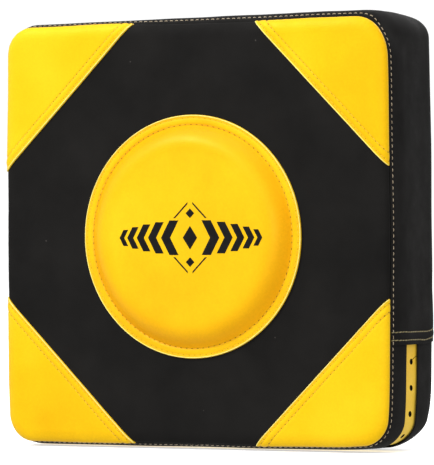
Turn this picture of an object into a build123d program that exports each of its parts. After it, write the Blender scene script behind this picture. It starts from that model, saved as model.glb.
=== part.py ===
"""Square kick shield: a foam pad in a sewn leatherette cover, with two forearm straps, two
hand grips and a zipped cover opening on its back.

Millimetres. +X is to the right of someone facing the struck face, -Y is out of that face and
+Z is up. The origin is the middle of the whole shield's bounding box, at its lowest point.
"""
from build123d import *
import math
import os

os.makedirs("parts", exist_ok=True)

# ---- driving dimensions -------------------------------------------------------------------
pad_width = 400.0
pad_height = 400.0
pad_depth = 95.0  # from the struck leather to the back leather
side_bow = 3.0  # how far the filling pushes the middle of the top and the sides out
top_corner_radius = 24.0
bottom_corner_radius = 26.0

# cover
skin = 2.0  # leatherette with its scrim
patch_skin = 1.2  # thinner leatherette of the corner patches and reinforcements
layer_gap = 0.1  # between two sewn layers
fit_gap = 0.3  # between the cover and what fills it
filling_gap = 0.7  # between the vent strip and the filling behind it
seam_gap = 0.6  # between two panels that a seam joins
front_seam_depth = 7.0  # the front panel turns over the edge this far
front_roll = 6.0  # radius of that turned edge
back_rim = 4.0
back_roll = 3.0

# front
corner_patch_leg = 142.0
target_diameter = 228.0
target_drop = 3.0  # the target's centre is this far below the pad's centre
target_flange = 11.0
target_height = 15.0
target_roll = 13.0

# gusset
hem_height = 97.5  # lower edge of the upper gusset's hem
hem_lap = 15.5  # how far the hem laps over the lower gusset
hem_joggle = 4.0
gusset_front_strip = 27.8
vent_visible = 23.0
vent_lap = 8.0
vent_skin = 1.5
vent_hole_diameter = 4.0
vent_hole_pitch = 24.0
vent_hole_setback = 2.8  # the row of holes is this far behind the strip's middle
vent_hole_below_hem = 15.8  # the highest hole on each side, below the hem's edge

# filling
front_foam_thickness = 20.0
board_thickness = 3.0
rear_foam_thickness = 15.0
foam_edge_radius = 4.0

# forearm straps
strap_centre = 95.0  # from the pad's middle, for both the straps and the grips
strap_height = 110.0  # height of the straps' middle
strap_width = 64.0
strap_band = 4.0
strap_room = 58.0  # free height under a closed strap
strap_span = 122.0  # between the two sewn folds
strap_lean_angle = 17.5  # each riser leans inwards this much, in degrees
strap_bend = 8.0
strap_foot = 22.0
strap_base_top = 66.0  # length of the base's flat top
strap_flap_top = 70.0  # length of the flap's flat top
fastener_thickness = 1.3  # hook or loop tape
fastener_length = 52.0
fastener_margin = 4.0
flap_gap = 0.2

# hand grips
grip_from_top = 90.0  # the grips' middle, below the top of the pad
grip_webbing_width = 25.0
grip_webbing = 2.5
grip_span = 112.0  # between the two inner folds
grip_lean = 10.0
grip_standoff = 46.0  # back panel to the middle of the grip
grip_bend = 5.0
grip_foot = 22.0
grip_diameter = 28.0
grip_length = 82.0
grip_sleeve_clearance = 0.3
patch_margin = 5.0

# rivets
rivet_cap_diameter = 8.0
rivet_cap_height = 1.6
rivet_post_diameter = 3.0
rivet_tail_diameter = 7.0
rivet_tail_height = 1.0
rivet_pitch = 9.5
rivet_setback = 2.0  # from the foot's middle, away from its fold
rivet_clearance = 0.1

# zip
zip_height = 50.0
zip_chain_length = 300.0
zip_slot = 12.0
zip_tape_width = 15.5
zip_tape = 0.8
zip_tape_end = 8.0
zip_coil_gap = 0.9
zip_coil_width = 2.8
zip_coil_height = 2.4
zip_stop_length = 3.0
slider_length = 12.0
slider_half_width = 4.8
slider_plate = 1.1
slider_play = 0.2
slider_web = 0.6
slider_web_length = 4.0
slider_flange = 0.8
bridge_length = 8.2
bridge_width = 3.0
bridge_bar = 1.2
pull_bar_diameter = 1.4
pull_play = 0.3
pull_length = 30.0
pull_width = 6.4
pull_neck = 7.0
pull_hole_diameter = 3.2

# ---- places that follow from them ---------------------------------------------------------
strap_stack = patch_skin + 2 * layer_gap + strap_band + strap_room
strap_top = strap_stack + 2 * fastener_thickness + flap_gap + strap_band
total_depth = target_height + pad_depth + strap_top

face_y = target_height - total_depth / 2
back_y = face_y + pad_depth
front_seam_y = face_y + front_seam_depth
gusset_front_y = front_seam_y + seam_gap
gusset_back_y = back_y - back_rim - seam_gap
vent_front_y = gusset_front_y + gusset_front_strip
vent_back_y = vent_front_y + vent_visible
vent_hole_y = (vent_front_y + vent_back_y) / 2 + vent_hole_setback
panel_inset = patch_skin + layer_gap
filling_inset = skin + layer_gap + vent_skin + filling_gap
filling_front_y = face_y + skin + fit_gap
filling_back_y = back_y - skin - fit_gap
patch_y = back_y + layer_gap + patch_skin  # outer face of the reinforcement patches
foot_y = patch_y + layer_gap  # where sewn-down straps and grips lie
target_centre = pad_height / 2 - target_drop
grip_height = pad_height - grip_from_top
over_top = 2 * pad_height  # a level above everything
under_bottom = -pad_height
sides = (("left", -1), ("right", 1))


def at_depth(y):
    """Sketch plane seen from the front: its x and y are the shield's X and Z."""
    return Plane.XZ.offset(-y)


def save(piece, name):
    """Label a finished piece and write it."""
    piece.part.label = name
    export_step(piece.part, f"parts/{name}.step")


def outline(inset=0.0):
    """The pad from the front: flat at the bottom, bowed elsewhere, inset all round."""
    half_width = pad_width / 2
    middle = pad_height / 2
    with BuildSketch() as face:
        with BuildLine():
            Line((-half_width, 0), (half_width, 0))
            ThreePointArc((half_width, 0), (half_width + side_bow, middle), (half_width, pad_height))
            ThreePointArc((half_width, pad_height), (0, pad_height + side_bow), (-half_width, pad_height))
            ThreePointArc((-half_width, pad_height), (-half_width - side_bow, middle), (-half_width, 0))
        make_face()
        if inset:
            offset(amount=-inset, kind=Kind.INTERSECTION)
        fillet(face.vertices().group_by(Axis.Y)[-1], top_corner_radius - inset)
        fillet(face.vertices().group_by(Axis.Y)[0], bottom_corner_radius - inset)
    return face.sketch


def solid_pad(inset, front, back, front_radius=0.0, back_radius=0.0):
    """Solid of the outline between two depths, with its front or back edge rounded."""
    shape = outline(inset)
    with BuildPart() as block:
        with BuildSketch(at_depth(back)):
            add(shape)
        extrude(amount=back - front)
        if front_radius:
            fillet(block.faces().sort_by(Axis.Y)[0].edges(), front_radius)
        if back_radius:
            fillet(block.faces().sort_by(Axis.Y)[-1].edges(), back_radius)
    return block.part


def shell_pad(inset, thickness, front, back, front_radius):
    """Pan of even thickness that covers the front and turns back over the edge."""
    outside = solid_pad(inset, front, back, front_radius=front_radius)
    inside = solid_pad(inset + thickness, front + thickness, back, front_radius=front_radius - thickness)
    with BuildPart() as pan:
        add(outside)
        add(inside, mode=Mode.SUBTRACT)
    return pan.part


def cover_band(inset, thickness, front, back, low, high):
    """Strip of cover that follows the outline between two depths and two heights."""
    outside = outline(inset)
    inside = outline(inset + thickness)
    with BuildPart() as band:
        with BuildSketch(at_depth(back)):
            add(outside)
            add(inside, mode=Mode.SUBTRACT)
            with Locations((0, (low + high) / 2)):
                Rectangle(2 * pad_width, high - low, mode=Mode.INTERSECT)
        extrude(amount=back - front)
    return band.part


# ---- front --------------------------------------------------------------------------------
panel_shell = shell_pad(panel_inset, skin, face_y, front_seam_y, front_roll - panel_inset)
with BuildPart() as front_panel:
    add(panel_shell)
save(front_panel, "front_panel")

patch_face_y = face_y - panel_inset
patch_shell = shell_pad(0.0, patch_skin, patch_face_y, front_seam_y, front_roll)
for height_name, height_sign, corner_z in (("top", 1, pad_height), ("bottom", -1, 0.0)):
    for side_name, side_sign in sides:
        corner_x = side_sign * pad_width / 2
        beyond = 2 * side_bow  # the cut reaches past the bowed edge
        tip_x = corner_x - side_sign * corner_patch_leg
        tip_z = corner_z - height_sign * corner_patch_leg
        with BuildPart() as corner_patch:
            add(patch_shell)
            with BuildSketch(at_depth(front_seam_y)):
                with BuildLine():
                    Polyline(
                        (tip_x - side_sign * beyond, corner_z + height_sign * beyond),
                        (corner_x + side_sign * beyond, corner_z + height_sign * beyond),
                        (corner_x + side_sign * beyond, tip_z - height_sign * beyond),
                        close=True,
                    )
                make_face()
            extrude(amount=front_seam_y - patch_face_y, mode=Mode.INTERSECT)
        save(corner_patch, f"corner_patch_{height_name}_{side_name}")

dome_radius = target_diameter / 2 - target_flange
target_back_y = face_y - layer_gap
target_front_y = face_y - target_height
with BuildPart() as target_cover:
    with BuildSketch(at_depth(target_back_y)):
        with Locations((0, target_centre)):
            Circle(dome_radius)
    extrude(amount=target_back_y - target_front_y)
    fillet(target_cover.faces().sort_by(Axis.Y)[0].edges(), target_roll)
    offset(amount=-skin, openings=target_cover.faces().sort_by(Axis.Y)[-1])
    with BuildSketch(at_depth(target_back_y)):
        with Locations((0, target_centre)):
            Circle(target_diameter / 2)
            Circle(dome_radius - skin, mode=Mode.SUBTRACT)
    extrude(amount=skin)
save(target_cover, "target_cover")

foam_inset = skin + fit_gap
with BuildPart() as target_foam:
    with BuildSketch(at_depth(face_y)):
        with Locations((0, target_centre)):
            Circle(dome_radius - foam_inset)
    extrude(amount=target_height - foam_inset)
    fillet(target_foam.faces().sort_by(Axis.Y)[0].edges(), target_roll - skin)
save(target_foam, "target_foam")

# ---- gusset -------------------------------------------------------------------------------
lap_top = hem_height + hem_lap
gusset_wall = cover_band(0.0, skin, gusset_front_y, gusset_back_y, lap_top, over_top)
hem_inset = -skin - layer_gap
gusset_hem = cover_band(hem_inset, skin, gusset_front_y, gusset_back_y, hem_height, lap_top)
step_top = lap_top + hem_joggle
gusset_step = cover_band(hem_inset, skin - hem_inset, gusset_front_y, gusset_back_y, lap_top, step_top)
with BuildPart() as upper_gusset:
    add(gusset_wall)
    add(gusset_step)
    add(gusset_hem)
save(upper_gusset, "upper_gusset")

lower_top = lap_top - fit_gap
for name, front, back in (
    ("lower_gusset_front", gusset_front_y, vent_front_y),
    ("lower_gusset_rear", vent_back_y, gusset_back_y),
):
    with BuildPart() as lower_gusset:
        add(cover_band(0.0, skin, front, back, under_bottom, lower_top))
    save(lower_gusset, name)

vent_inset = skin + layer_gap
vent_wall_front = vent_front_y - vent_lap
vent_wall_back = vent_back_y + vent_lap
vent_wall = cover_band(vent_inset, vent_skin, vent_wall_front, vent_wall_back, under_bottom, lower_top)
side_hole_top = hem_height - vent_hole_below_hem
side_holes = 1 + int((side_hole_top - bottom_corner_radius) / vent_hole_pitch)
bottom_holes_each_way = int((pad_width / 2 - bottom_corner_radius) / vent_hole_pitch)
corner_centre_x = pad_width / 2 - bottom_corner_radius
with BuildPart() as vent_strip:
    add(vent_wall)
    with BuildSketch(Plane.YZ):
        for hole in range(side_holes):
            with Locations((vent_hole_y, side_hole_top - hole * vent_hole_pitch)):
                Circle(vent_hole_diameter / 2)
    extrude(amount=pad_width, both=True, mode=Mode.SUBTRACT)
    with BuildSketch(Plane.XY.offset(-skin)):
        with Locations((0, vent_hole_y)):
            with GridLocations(vent_hole_pitch, 1, 1 + 2 * bottom_holes_each_way, 1):
                Circle(vent_hole_diameter / 2)
    extrude(amount=4 * skin + vent_skin, mode=Mode.SUBTRACT)
    for side_name, side_sign in sides:
        corner_centre = (side_sign * corner_centre_x, vent_hole_y, bottom_corner_radius)
        outward = (side_sign, 0, -1)
        with BuildSketch(Plane(origin=corner_centre, z_dir=outward)):
            Circle(vent_hole_diameter / 2)
        extrude(amount=2 * bottom_corner_radius, mode=Mode.SUBTRACT)
save(vent_strip, "vent_strip")
# ---- back ---------------------------------------------------------------------------------
back_outside = solid_pad(0.0, back_y - back_rim, back_y, back_radius=back_roll)
back_inside = solid_pad(skin, back_y - back_rim, back_y - skin, back_radius=back_roll - skin)
strap_inner_fold = strap_centre - strap_span / 2
strap_outer_fold = strap_centre + strap_span / 2
grip_inner_fold = strap_centre - grip_span / 2
grip_outer_fold = strap_centre + grip_span / 2
grip_feet = (grip_inner_fold - grip_foot / 2, grip_outer_fold + grip_foot / 2)
rivet_spots = [
    (side_sign * (foot_x + outward * rivet_setback + end * rivet_pitch / 2), grip_height)
    for _, side_sign in sides
    for foot_x, outward in zip(grip_feet, (-1, 1))
    for end in (-1, 1)
]
rivet_hole_radius = rivet_post_diameter / 2 + rivet_clearance


def rivet_holes(depth, thickness):
    """Cut the rivets' holes through what lies in front of the given depth."""
    with BuildSketch(at_depth(depth)) as holes:
        with Locations(*rivet_spots):
            Circle(rivet_hole_radius)
    extrude(holes.sketch, amount=thickness, mode=Mode.SUBTRACT)


for name, keep, level in (
    ("back_panel", Keep.TOP, zip_height + seam_gap / 2),
    ("back_panel_lower", Keep.BOTTOM, zip_height - seam_gap / 2),
):
    with BuildPart() as back:
        add(back_outside)
        add(back_inside, mode=Mode.SUBTRACT)
        with BuildSketch(at_depth(back_y)):
            with Locations((0, zip_height)):
                Rectangle(zip_chain_length + 2 * zip_tape_end, zip_slot)
        extrude(amount=skin, mode=Mode.SUBTRACT)
        rivet_holes(back_y, skin)
        split(bisect_by=Plane.XY.offset(level), keep=keep)
    save(back, name)

strap_patch = (strap_foot + 2 * patch_margin, strap_width + 2 * patch_margin)
grip_patch = (grip_foot + 2 * patch_margin, grip_webbing_width + 2 * patch_margin)
with BuildPart() as reinforcement_patches:
    with BuildSketch(at_depth(patch_y)):
        for side_name, side_sign in sides:
            for fold, outward in ((strap_inner_fold, -1), (strap_outer_fold, 1)):
                foot_middle = side_sign * (fold + outward * strap_foot / 2)
                with Locations((foot_middle, strap_height)):
                    RectangleRounded(*strap_patch, patch_margin)
            for foot_x in grip_feet:
                with Locations((side_sign * foot_x, grip_height)):
                    RectangleRounded(*grip_patch, patch_margin)
    extrude(amount=patch_skin)
    rivet_holes(patch_y, patch_skin)
save(reinforcement_patches, "reinforcement_patches")

# ---- filling ------------------------------------------------------------------------------
front_foam_back = filling_front_y + front_foam_thickness
rear_foam_front = filling_back_y - rear_foam_thickness
board_front = rear_foam_front - board_thickness
front_foam_block = solid_pad(filling_inset, filling_front_y, front_foam_back, front_radius=foam_edge_radius)
core_foam_block = solid_pad(filling_inset, front_foam_back, board_front)
board_block = solid_pad(filling_inset, board_front, rear_foam_front)
rear_foam_block = solid_pad(filling_inset, rear_foam_front, filling_back_y)
for name, block in (
    ("front_foam", front_foam_block),
    ("core_foam", core_foam_block),
    ("backing_board", board_block),
):
    with BuildPart() as layer:
        add(block)
    save(layer, name)

tape_back_y = back_y - skin
tape_front_y = tape_back_y - zip_tape
slider_bottom_back_y = tape_front_y - slider_play
slider_bottom_front_y = slider_bottom_back_y - slider_plate
chain_half = zip_coil_gap / 2 + zip_coil_width
channel_length = zip_chain_length + 2 * (zip_tape_end + fit_gap)
channel_width = zip_coil_gap + 2 * (zip_tape_width + fit_gap)
with BuildPart() as rear_foam:
    add(rear_foam_block)
    with BuildSketch(at_depth(filling_back_y)):
        with Locations((0, zip_height)):
            Rectangle(channel_length, channel_width)
    extrude(amount=filling_back_y - slider_bottom_front_y + fit_gap, mode=Mode.SUBTRACT)
    with BuildSketch(at_depth(filling_back_y)):
        with Locations(*rivet_spots):
            Circle(rivet_tail_diameter / 2 + fit_gap)
    extrude(amount=rivet_tail_height + fit_gap, mode=Mode.SUBTRACT)
save(rear_foam, "rear_foam")

# ---- zip ----------------------------------------------------------------------------------
zip_rows = (("upper", 1), ("lower", -1))
for row, up in zip_rows:
    with BuildPart() as zipper_tape:
        with BuildSketch(at_depth(tape_back_y)):
            with Locations((0, zip_height + up * (zip_coil_gap + zip_tape_width) / 2)):
                Rectangle(zip_chain_length + 2 * zip_tape_end, zip_tape_width)
        extrude(amount=zip_tape)
    save(zipper_tape, f"zipper_tape_{row}")

coil_back_y = tape_back_y + zip_coil_height
for row, up in zip_rows:
    with BuildPart() as zipper_coil:
        with BuildSketch(at_depth(coil_back_y)):
            with Locations((0, zip_height + up * (zip_coil_gap + zip_coil_width) / 2)):
                Rectangle(zip_chain_length, zip_coil_width)
        extrude(amount=zip_coil_height)
        fillet(zipper_coil.faces().sort_by(Axis.Y)[-1].edges().filter_by(Axis.X), zip_coil_height / 3)
    save(zipper_coil, f"zipper_coil_{row}")

stop_middle = zip_chain_length / 2 + zip_stop_length / 2
with BuildPart() as zipper_end_stops:
    with BuildSketch(at_depth(coil_back_y)):
        with Locations((-stop_middle, zip_height), (stop_middle, zip_height)):
            Rectangle(zip_stop_length, 2 * chain_half)
    extrude(amount=zip_coil_height)
save(zipper_end_stops, "zipper_end_stops")

slider_x = zip_chain_length / 2 - slider_length / 2
slider_top_front_y = coil_back_y + slider_play
slider_top_y = slider_top_front_y + slider_plate
pull_y = slider_top_y + pull_play + pull_bar_diameter / 2
bridge_front_y = pull_y + pull_bar_diameter / 2 + pull_play
bridge_top_y = bridge_front_y + bridge_bar
with BuildPart() as zipper_slider:
    with BuildSketch(at_depth(slider_top_y)):
        with Locations((slider_x, zip_height)):
            RectangleRounded(slider_length, 2 * slider_half_width, slider_half_width / 3)
    extrude(amount=slider_plate)
    with BuildSketch(at_depth(slider_bottom_back_y)):
        with Locations((slider_x, zip_height)):
            RectangleRounded(slider_length, 2 * slider_half_width, slider_half_width / 3)
    extrude(amount=slider_plate)
    with BuildSketch(at_depth(slider_top_front_y)):
        with Locations((slider_x, zip_height)):
            Rectangle(slider_web_length, slider_web)
    extrude(amount=slider_top_front_y - slider_bottom_back_y)
    with BuildSketch(at_depth(slider_top_front_y)):
        flange_z = slider_half_width - slider_flange / 2
        with Locations((slider_x, zip_height - flange_z), (slider_x, zip_height + flange_z)):
            Rectangle(slider_length - slider_half_width, slider_flange)
    extrude(amount=slider_top_front_y - tape_back_y - slider_play)
    with BuildSketch(Plane.XY.offset(zip_height)):
        with Locations((slider_x, (slider_top_y + bridge_top_y) / 2)):
            Rectangle(bridge_length, bridge_top_y - slider_top_y)
        with Locations((slider_x, (slider_top_y + bridge_front_y) / 2)):
            Rectangle(bridge_length - 2 * bridge_bar, bridge_front_y - slider_top_y, mode=Mode.SUBTRACT)
    extrude(amount=bridge_width / 2, both=True)
save(zipper_slider, "zipper_slider")

pull_radius = pull_bar_diameter / 2
pull_arm = (pull_width - bridge_width) / 2 - pull_play
with BuildPart() as zipper_pull:
    with BuildSketch(at_depth(pull_y + pull_radius)):
        with Locations((slider_x - pull_length / 2, zip_height)):
            Rectangle(pull_length, pull_width)
        with Locations((slider_x - pull_neck / 2, zip_height)):
            Rectangle(pull_neck, pull_width - 2 * pull_arm, mode=Mode.SUBTRACT)
        with Locations((slider_x - pull_length + pull_width / 2, zip_height)):
            Circle(pull_hole_diameter / 2, mode=Mode.SUBTRACT)
    extrude(amount=pull_bar_diameter)
    fillet(zipper_pull.edges().filter_by(Axis.Y).group_by(Axis.X)[0], pull_width / 3)
    with BuildSketch(Plane.XY.offset(zip_height)):
        with Locations((slider_x, pull_y)):
            Circle(pull_radius)
    extrude(amount=pull_width / 2, both=True)
save(zipper_pull, "zipper_pull")

# ---- forearm straps -----------------------------------------------------------------------
strap_low = strap_height - strap_width / 2
strap_foot_y = foot_y + strap_band / 2
strap_base_y = foot_y + strap_band + strap_room - strap_band / 2
loop_front_y = strap_base_y + strap_band / 2
loop_back_y = loop_front_y + fastener_thickness
hook_front_y = loop_back_y + flap_gap
hook_back_y = hook_front_y + fastener_thickness
strap_flap_y = hook_back_y + strap_band / 2
strap_lean = math.tan(math.radians(strap_lean_angle))
flap_drop = strap_band / 2 * math.sin(math.radians(strap_lean_angle))
flap_start_x = strap_outer_fold - strap_band / 2 * math.cos(math.radians(strap_lean_angle))
flap_start_y = foot_y + strap_band + flap_gap + flap_drop
flap_hinge_y = flap_start_y + flap_drop  # outer corner of the flap's sewn end
strap_bend_inner = strap_inner_fold + strap_lean * (strap_base_y - strap_foot_y)
strap_bend_outer = flap_start_x - strap_lean * (strap_flap_y - flap_start_y)
strap_base_end = strap_bend_inner + strap_base_top
flap_end = strap_bend_outer - strap_flap_top
overlap_middle = (strap_base_end + flap_end) / 2
for side_name, side_sign in sides:
    with BuildPart() as strap_base:
        with BuildSketch(Plane.XY.offset(strap_low)):
            with BuildLine():
                FilletPolyline(
                    (side_sign * (strap_inner_fold - strap_foot), strap_foot_y),
                    (side_sign * strap_inner_fold, strap_foot_y),
                    (side_sign * strap_bend_inner, strap_base_y),
                    (side_sign * strap_base_end, strap_base_y),
                    radius=strap_bend,
                )
            trace(line_width=strap_band)
        extrude(amount=strap_width)
    save(strap_base, f"strap_base_{side_name}")

    with BuildPart() as strap_anchor:
        with BuildSketch(at_depth(foot_y + strap_band)):
            with Locations((side_sign * (strap_outer_fold + (strap_foot - strap_band) / 2), strap_height)):
                Rectangle(strap_foot + strap_band, strap_width)
        extrude(amount=strap_band)
    save(strap_anchor, f"strap_anchor_{side_name}")

    with BuildPart() as strap_flap:
        with BuildSketch(Plane.XY.offset(strap_low)):
            with BuildLine():
                FilletPolyline(
                    (side_sign * flap_start_x, flap_start_y),
                    (side_sign * strap_bend_outer, strap_flap_y),
                    (side_sign * flap_end, strap_flap_y),
                    radius=strap_bend,
                )
            trace(line_width=strap_band)
        extrude(amount=strap_width)
    save(strap_flap, f"strap_flap_{side_name}")

    for name, back in (("loop", loop_back_y), ("hook", hook_back_y)):
        with BuildPart() as fastener:
            with BuildSketch(at_depth(back)):
                with Locations((side_sign * overlap_middle, strap_height)):
                    Rectangle(fastener_length, strap_width - 2 * fastener_margin)
            extrude(amount=fastener_thickness)
        save(fastener, f"strap_{name}_{side_name}")

# ---- hand grips ---------------------------------------------------------------------------
webbing_low = grip_height - grip_webbing_width / 2
webbing_foot_y = foot_y + grip_webbing / 2
grip_y = back_y + grip_standoff
for side_name, side_sign in sides:
    with BuildPart() as grip_webbing_band:
        with BuildSketch(Plane.XY.offset(webbing_low)):
            with BuildLine():
                FilletPolyline(
                    (side_sign * (grip_inner_fold - grip_foot), webbing_foot_y),
                    (side_sign * grip_inner_fold, webbing_foot_y),
                    (side_sign * (grip_inner_fold + grip_lean), grip_y),
                    (side_sign * (grip_outer_fold - grip_lean), grip_y),
                    (side_sign * grip_outer_fold, webbing_foot_y),
                    (side_sign * (grip_outer_fold + grip_foot), webbing_foot_y),
                    radius=grip_bend,
                )
            trace(line_width=grip_webbing)
        extrude(amount=grip_webbing_width)
        rivet_holes(foot_y + 2 * grip_webbing, 2 * grip_webbing)
    save(grip_webbing_band, f"grip_webbing_{side_name}")

    with BuildPart() as grip_sleeve:
        with BuildSketch(Plane.YZ.offset(side_sign * strap_centre)):
            with Locations((grip_y, grip_height)):
                Circle(grip_diameter / 2)
                Rectangle(
                    grip_webbing + 2 * grip_sleeve_clearance,
                    grip_webbing_width + 2 * grip_sleeve_clearance,
                    mode=Mode.SUBTRACT,
                )
        extrude(amount=grip_length / 2, both=True)
    save(grip_sleeve, f"grip_sleeve_{side_name}")

rivet_head_y = foot_y + grip_webbing
with BuildPart() as grip_rivets:
    with BuildSketch(at_depth(rivet_head_y + rivet_cap_height)):
        with Locations(*rivet_spots):
            Circle(rivet_cap_diameter / 2)
    extrude(amount=rivet_cap_height)
    fillet(grip_rivets.edges().group_by(Axis.Y)[-1], rivet_cap_height / 2)
    with BuildSketch(at_depth(rivet_head_y)):
        with Locations(*rivet_spots):
            Circle(rivet_post_diameter / 2)
    extrude(amount=rivet_head_y - back_y + skin)
    with BuildSketch(at_depth(back_y - skin)):
        with Locations(*rivet_spots):
            Circle(rivet_tail_diameter / 2)
    extrude(amount=rivet_tail_height)
save(grip_rivets, "grip_rivets")
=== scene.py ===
"""Looks of the square kick shield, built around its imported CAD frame.

Lengths inside are millimetres and turn into metres when a mesh is made. +X is to the right of
someone facing the struck face, -Y is out of that face and +Z is up.
"""

import math

import bmesh
import bpy
import numpy as np
from mathutils import Matrix, Quaternion, Vector
from mathutils.bvhtree import BVHTree


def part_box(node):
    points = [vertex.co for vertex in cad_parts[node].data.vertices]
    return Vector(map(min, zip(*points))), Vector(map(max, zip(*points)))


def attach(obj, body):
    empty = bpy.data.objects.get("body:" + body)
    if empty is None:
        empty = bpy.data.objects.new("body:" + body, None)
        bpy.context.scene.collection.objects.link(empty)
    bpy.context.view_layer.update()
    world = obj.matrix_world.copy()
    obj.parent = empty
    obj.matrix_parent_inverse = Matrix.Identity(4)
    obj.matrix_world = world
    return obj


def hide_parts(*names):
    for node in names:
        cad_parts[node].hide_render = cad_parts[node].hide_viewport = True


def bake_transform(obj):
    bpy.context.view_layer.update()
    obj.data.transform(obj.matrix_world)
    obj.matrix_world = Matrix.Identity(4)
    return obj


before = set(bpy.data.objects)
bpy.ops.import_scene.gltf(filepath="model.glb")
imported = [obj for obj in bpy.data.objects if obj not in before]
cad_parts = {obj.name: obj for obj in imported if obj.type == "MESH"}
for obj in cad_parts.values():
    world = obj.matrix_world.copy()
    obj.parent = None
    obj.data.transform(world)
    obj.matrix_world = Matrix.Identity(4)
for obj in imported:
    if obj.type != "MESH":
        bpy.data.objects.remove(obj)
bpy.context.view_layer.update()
MM = 0.001
TAU = 2 * math.pi


def box(node):
    """Lowest and highest corners of a CAD node, in millimetres."""
    low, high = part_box(node)
    return np.array(low) / MM, np.array(high) / MM


# ---- places, from the frame ---------------------------------------------------------------
half_width = 200.0
height = 400.0
middle_z = height / 2
bow = 3.0
top_radius, bottom_radius = 24.0, 26.0
patch_reach = 258.0  # |x| + |z - middle_z| along each corner patch's long edge

face_y = box("front_panel")[0][1]
gusset_low, gusset_high = box("upper_gusset")
gusset_front_y, gusset_back_y = gusset_low[1], gusset_high[1]
hem_z = gusset_low[2]
lower_top = box("lower_gusset_front")[1][2]
vent_front_y = box("lower_gusset_front")[1][1]
vent_back_y = box("lower_gusset_rear")[0][1]
vent_low, vent_high = box("vent_strip")
back_y = box("back_panel")[1][1]
target_low, target_high = box("target_cover")
target_radius = (target_high[0] - target_low[0]) / 2 - 1.2
target_z = (target_low[2] + target_high[2]) / 2
target_front_y = target_low[1]
patch_y = box("reinforcement_patches")[1][1]
middle = np.array([0.0, (face_y + back_y) / 2, middle_z])


# ---- small geometry helpers ---------------------------------------------------------------
def ripple(x, y, size, seed):
    """Smooth repeatable unevenness between about -1 and 1, with features of that size."""
    rng = np.random.default_rng(seed)
    total = 0.0
    for _ in range(8):
        angle, phase = rng.uniform(0, TAU, 2)
        pace = TAU / size * rng.uniform(0.5, 1.4)
        total = total + np.sin(pace * (x * np.cos(angle) + y * np.sin(angle)) + phase)
    return total / 4


def smoothstep(value, low, high):
    t = np.clip((value - low) / (high - low), 0, 1)
    return t * t * (3 - 2 * t)


def unit(vectors):
    return vectors / np.maximum(np.linalg.norm(vectors, axis=-1, keepdims=True), 1e-12)


def quads(rows, columns, wrap_columns=False, wrap_rows=False):
    r = np.arange(rows if wrap_rows else rows - 1)[:, None]
    c = np.arange(columns if wrap_columns else columns - 1)[None, :]
    r2, c2 = (r + 1) % rows, (c + 1) % columns
    corners = np.broadcast_arrays(r * columns + c, r * columns + c2, r2 * columns + c2, r2 * columns + c)
    return np.stack(corners, -1).reshape(-1, 4)


def tube_faces(rows, columns, flipped=False):
    """Faces of a tube of rings, with both ends closed."""
    first, last = list(range(columns)), [(rows - 1) * columns + i for i in range(columns)]
    ends = [first, last[::-1]] if flipped else [first[::-1], last]
    return quads(rows, columns, True).tolist() + ends


def grid_normals(points, wrap=False):
    if wrap:
        across = np.roll(points, -1, 1) - np.roll(points, 1, 1)
    else:
        across = np.gradient(points, axis=1)
    along = np.gradient(points, axis=0)
    normals = unit(np.cross(across, along))
    if np.sum(normals * (points - middle)) < 0:
        normals = -normals
    return normals


def make(name, points, faces, material, sharp=38.0, fix_normals=True):
    """A mesh object from millimetre points, smooth but for edges sharper than that angle."""
    mesh = bpy.data.meshes.new(name)
    flat = np.asarray(points, float).reshape(-1, 3) * MM
    faces = faces.tolist() if hasattr(faces, "tolist") else faces
    mesh.from_pydata(flat.tolist(), [], faces)
    if fix_normals:
        work = bmesh.new()
        work.from_mesh(mesh)
        bmesh.ops.recalc_face_normals(work, faces=work.faces)
        work.to_mesh(mesh)
        work.free()
    mesh.polygons.foreach_set("use_smooth", [True] * len(mesh.polygons))
    mesh.set_sharp_from_angle(angle=math.radians(sharp))
    mesh.materials.append(material)
    obj = bpy.data.objects.new(name, mesh)
    bpy.context.scene.collection.objects.link(obj)
    return obj


def sheet_mesh(points, thickness, wrap=False):
    """Vertices and faces of a closed sheet whose outer surface is the given grid."""
    rows, columns = points.shape[:2]
    inner = points - grid_normals(points, wrap) * thickness
    count = rows * columns
    outer_faces = quads(rows, columns, wrap)
    faces = [outer_faces, outer_faces[:, ::-1] + count]
    index = np.arange(count).reshape(rows, columns)
    for rim in (index[0], index[-1]):
        after = np.roll(rim, -1) if wrap else rim[1:]
        before = rim if wrap else rim[:-1]
        faces.append(np.stack([before, after, after + count, before + count], -1))
    if not wrap:
        for rim in (index[:, 0], index[:, -1]):
            faces.append(np.stack([rim[:-1], rim[1:], rim[1:] + count, rim[:-1] + count], -1))
    return np.concatenate([points.reshape(-1, 3), inner.reshape(-1, 3)]), np.concatenate(faces)


def sheet(name, points, thickness, material):
    return make(name, *sheet_mesh(points, thickness), material)


def put(obj, nodes=(), body="pad"):
    """Hang a finished piece on its body and hide the CAD nodes it stands for."""
    if body:
        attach(obj, body)
    if nodes:
        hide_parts(*nodes)
    return obj


def join(name, parts, material):
    """One object from several (points, faces) pairs."""
    points, faces, start = [], [], 0
    for vertices, polygons in parts:
        vertices = np.asarray(vertices, float).reshape(-1, 3)
        points.append(vertices)
        faces += [[i + start for i in polygon] for polygon in
                  (polygons.tolist() if hasattr(polygons, "tolist") else polygons)]
        start += len(vertices)
    return make(name, np.concatenate(points), faces, material)


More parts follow.
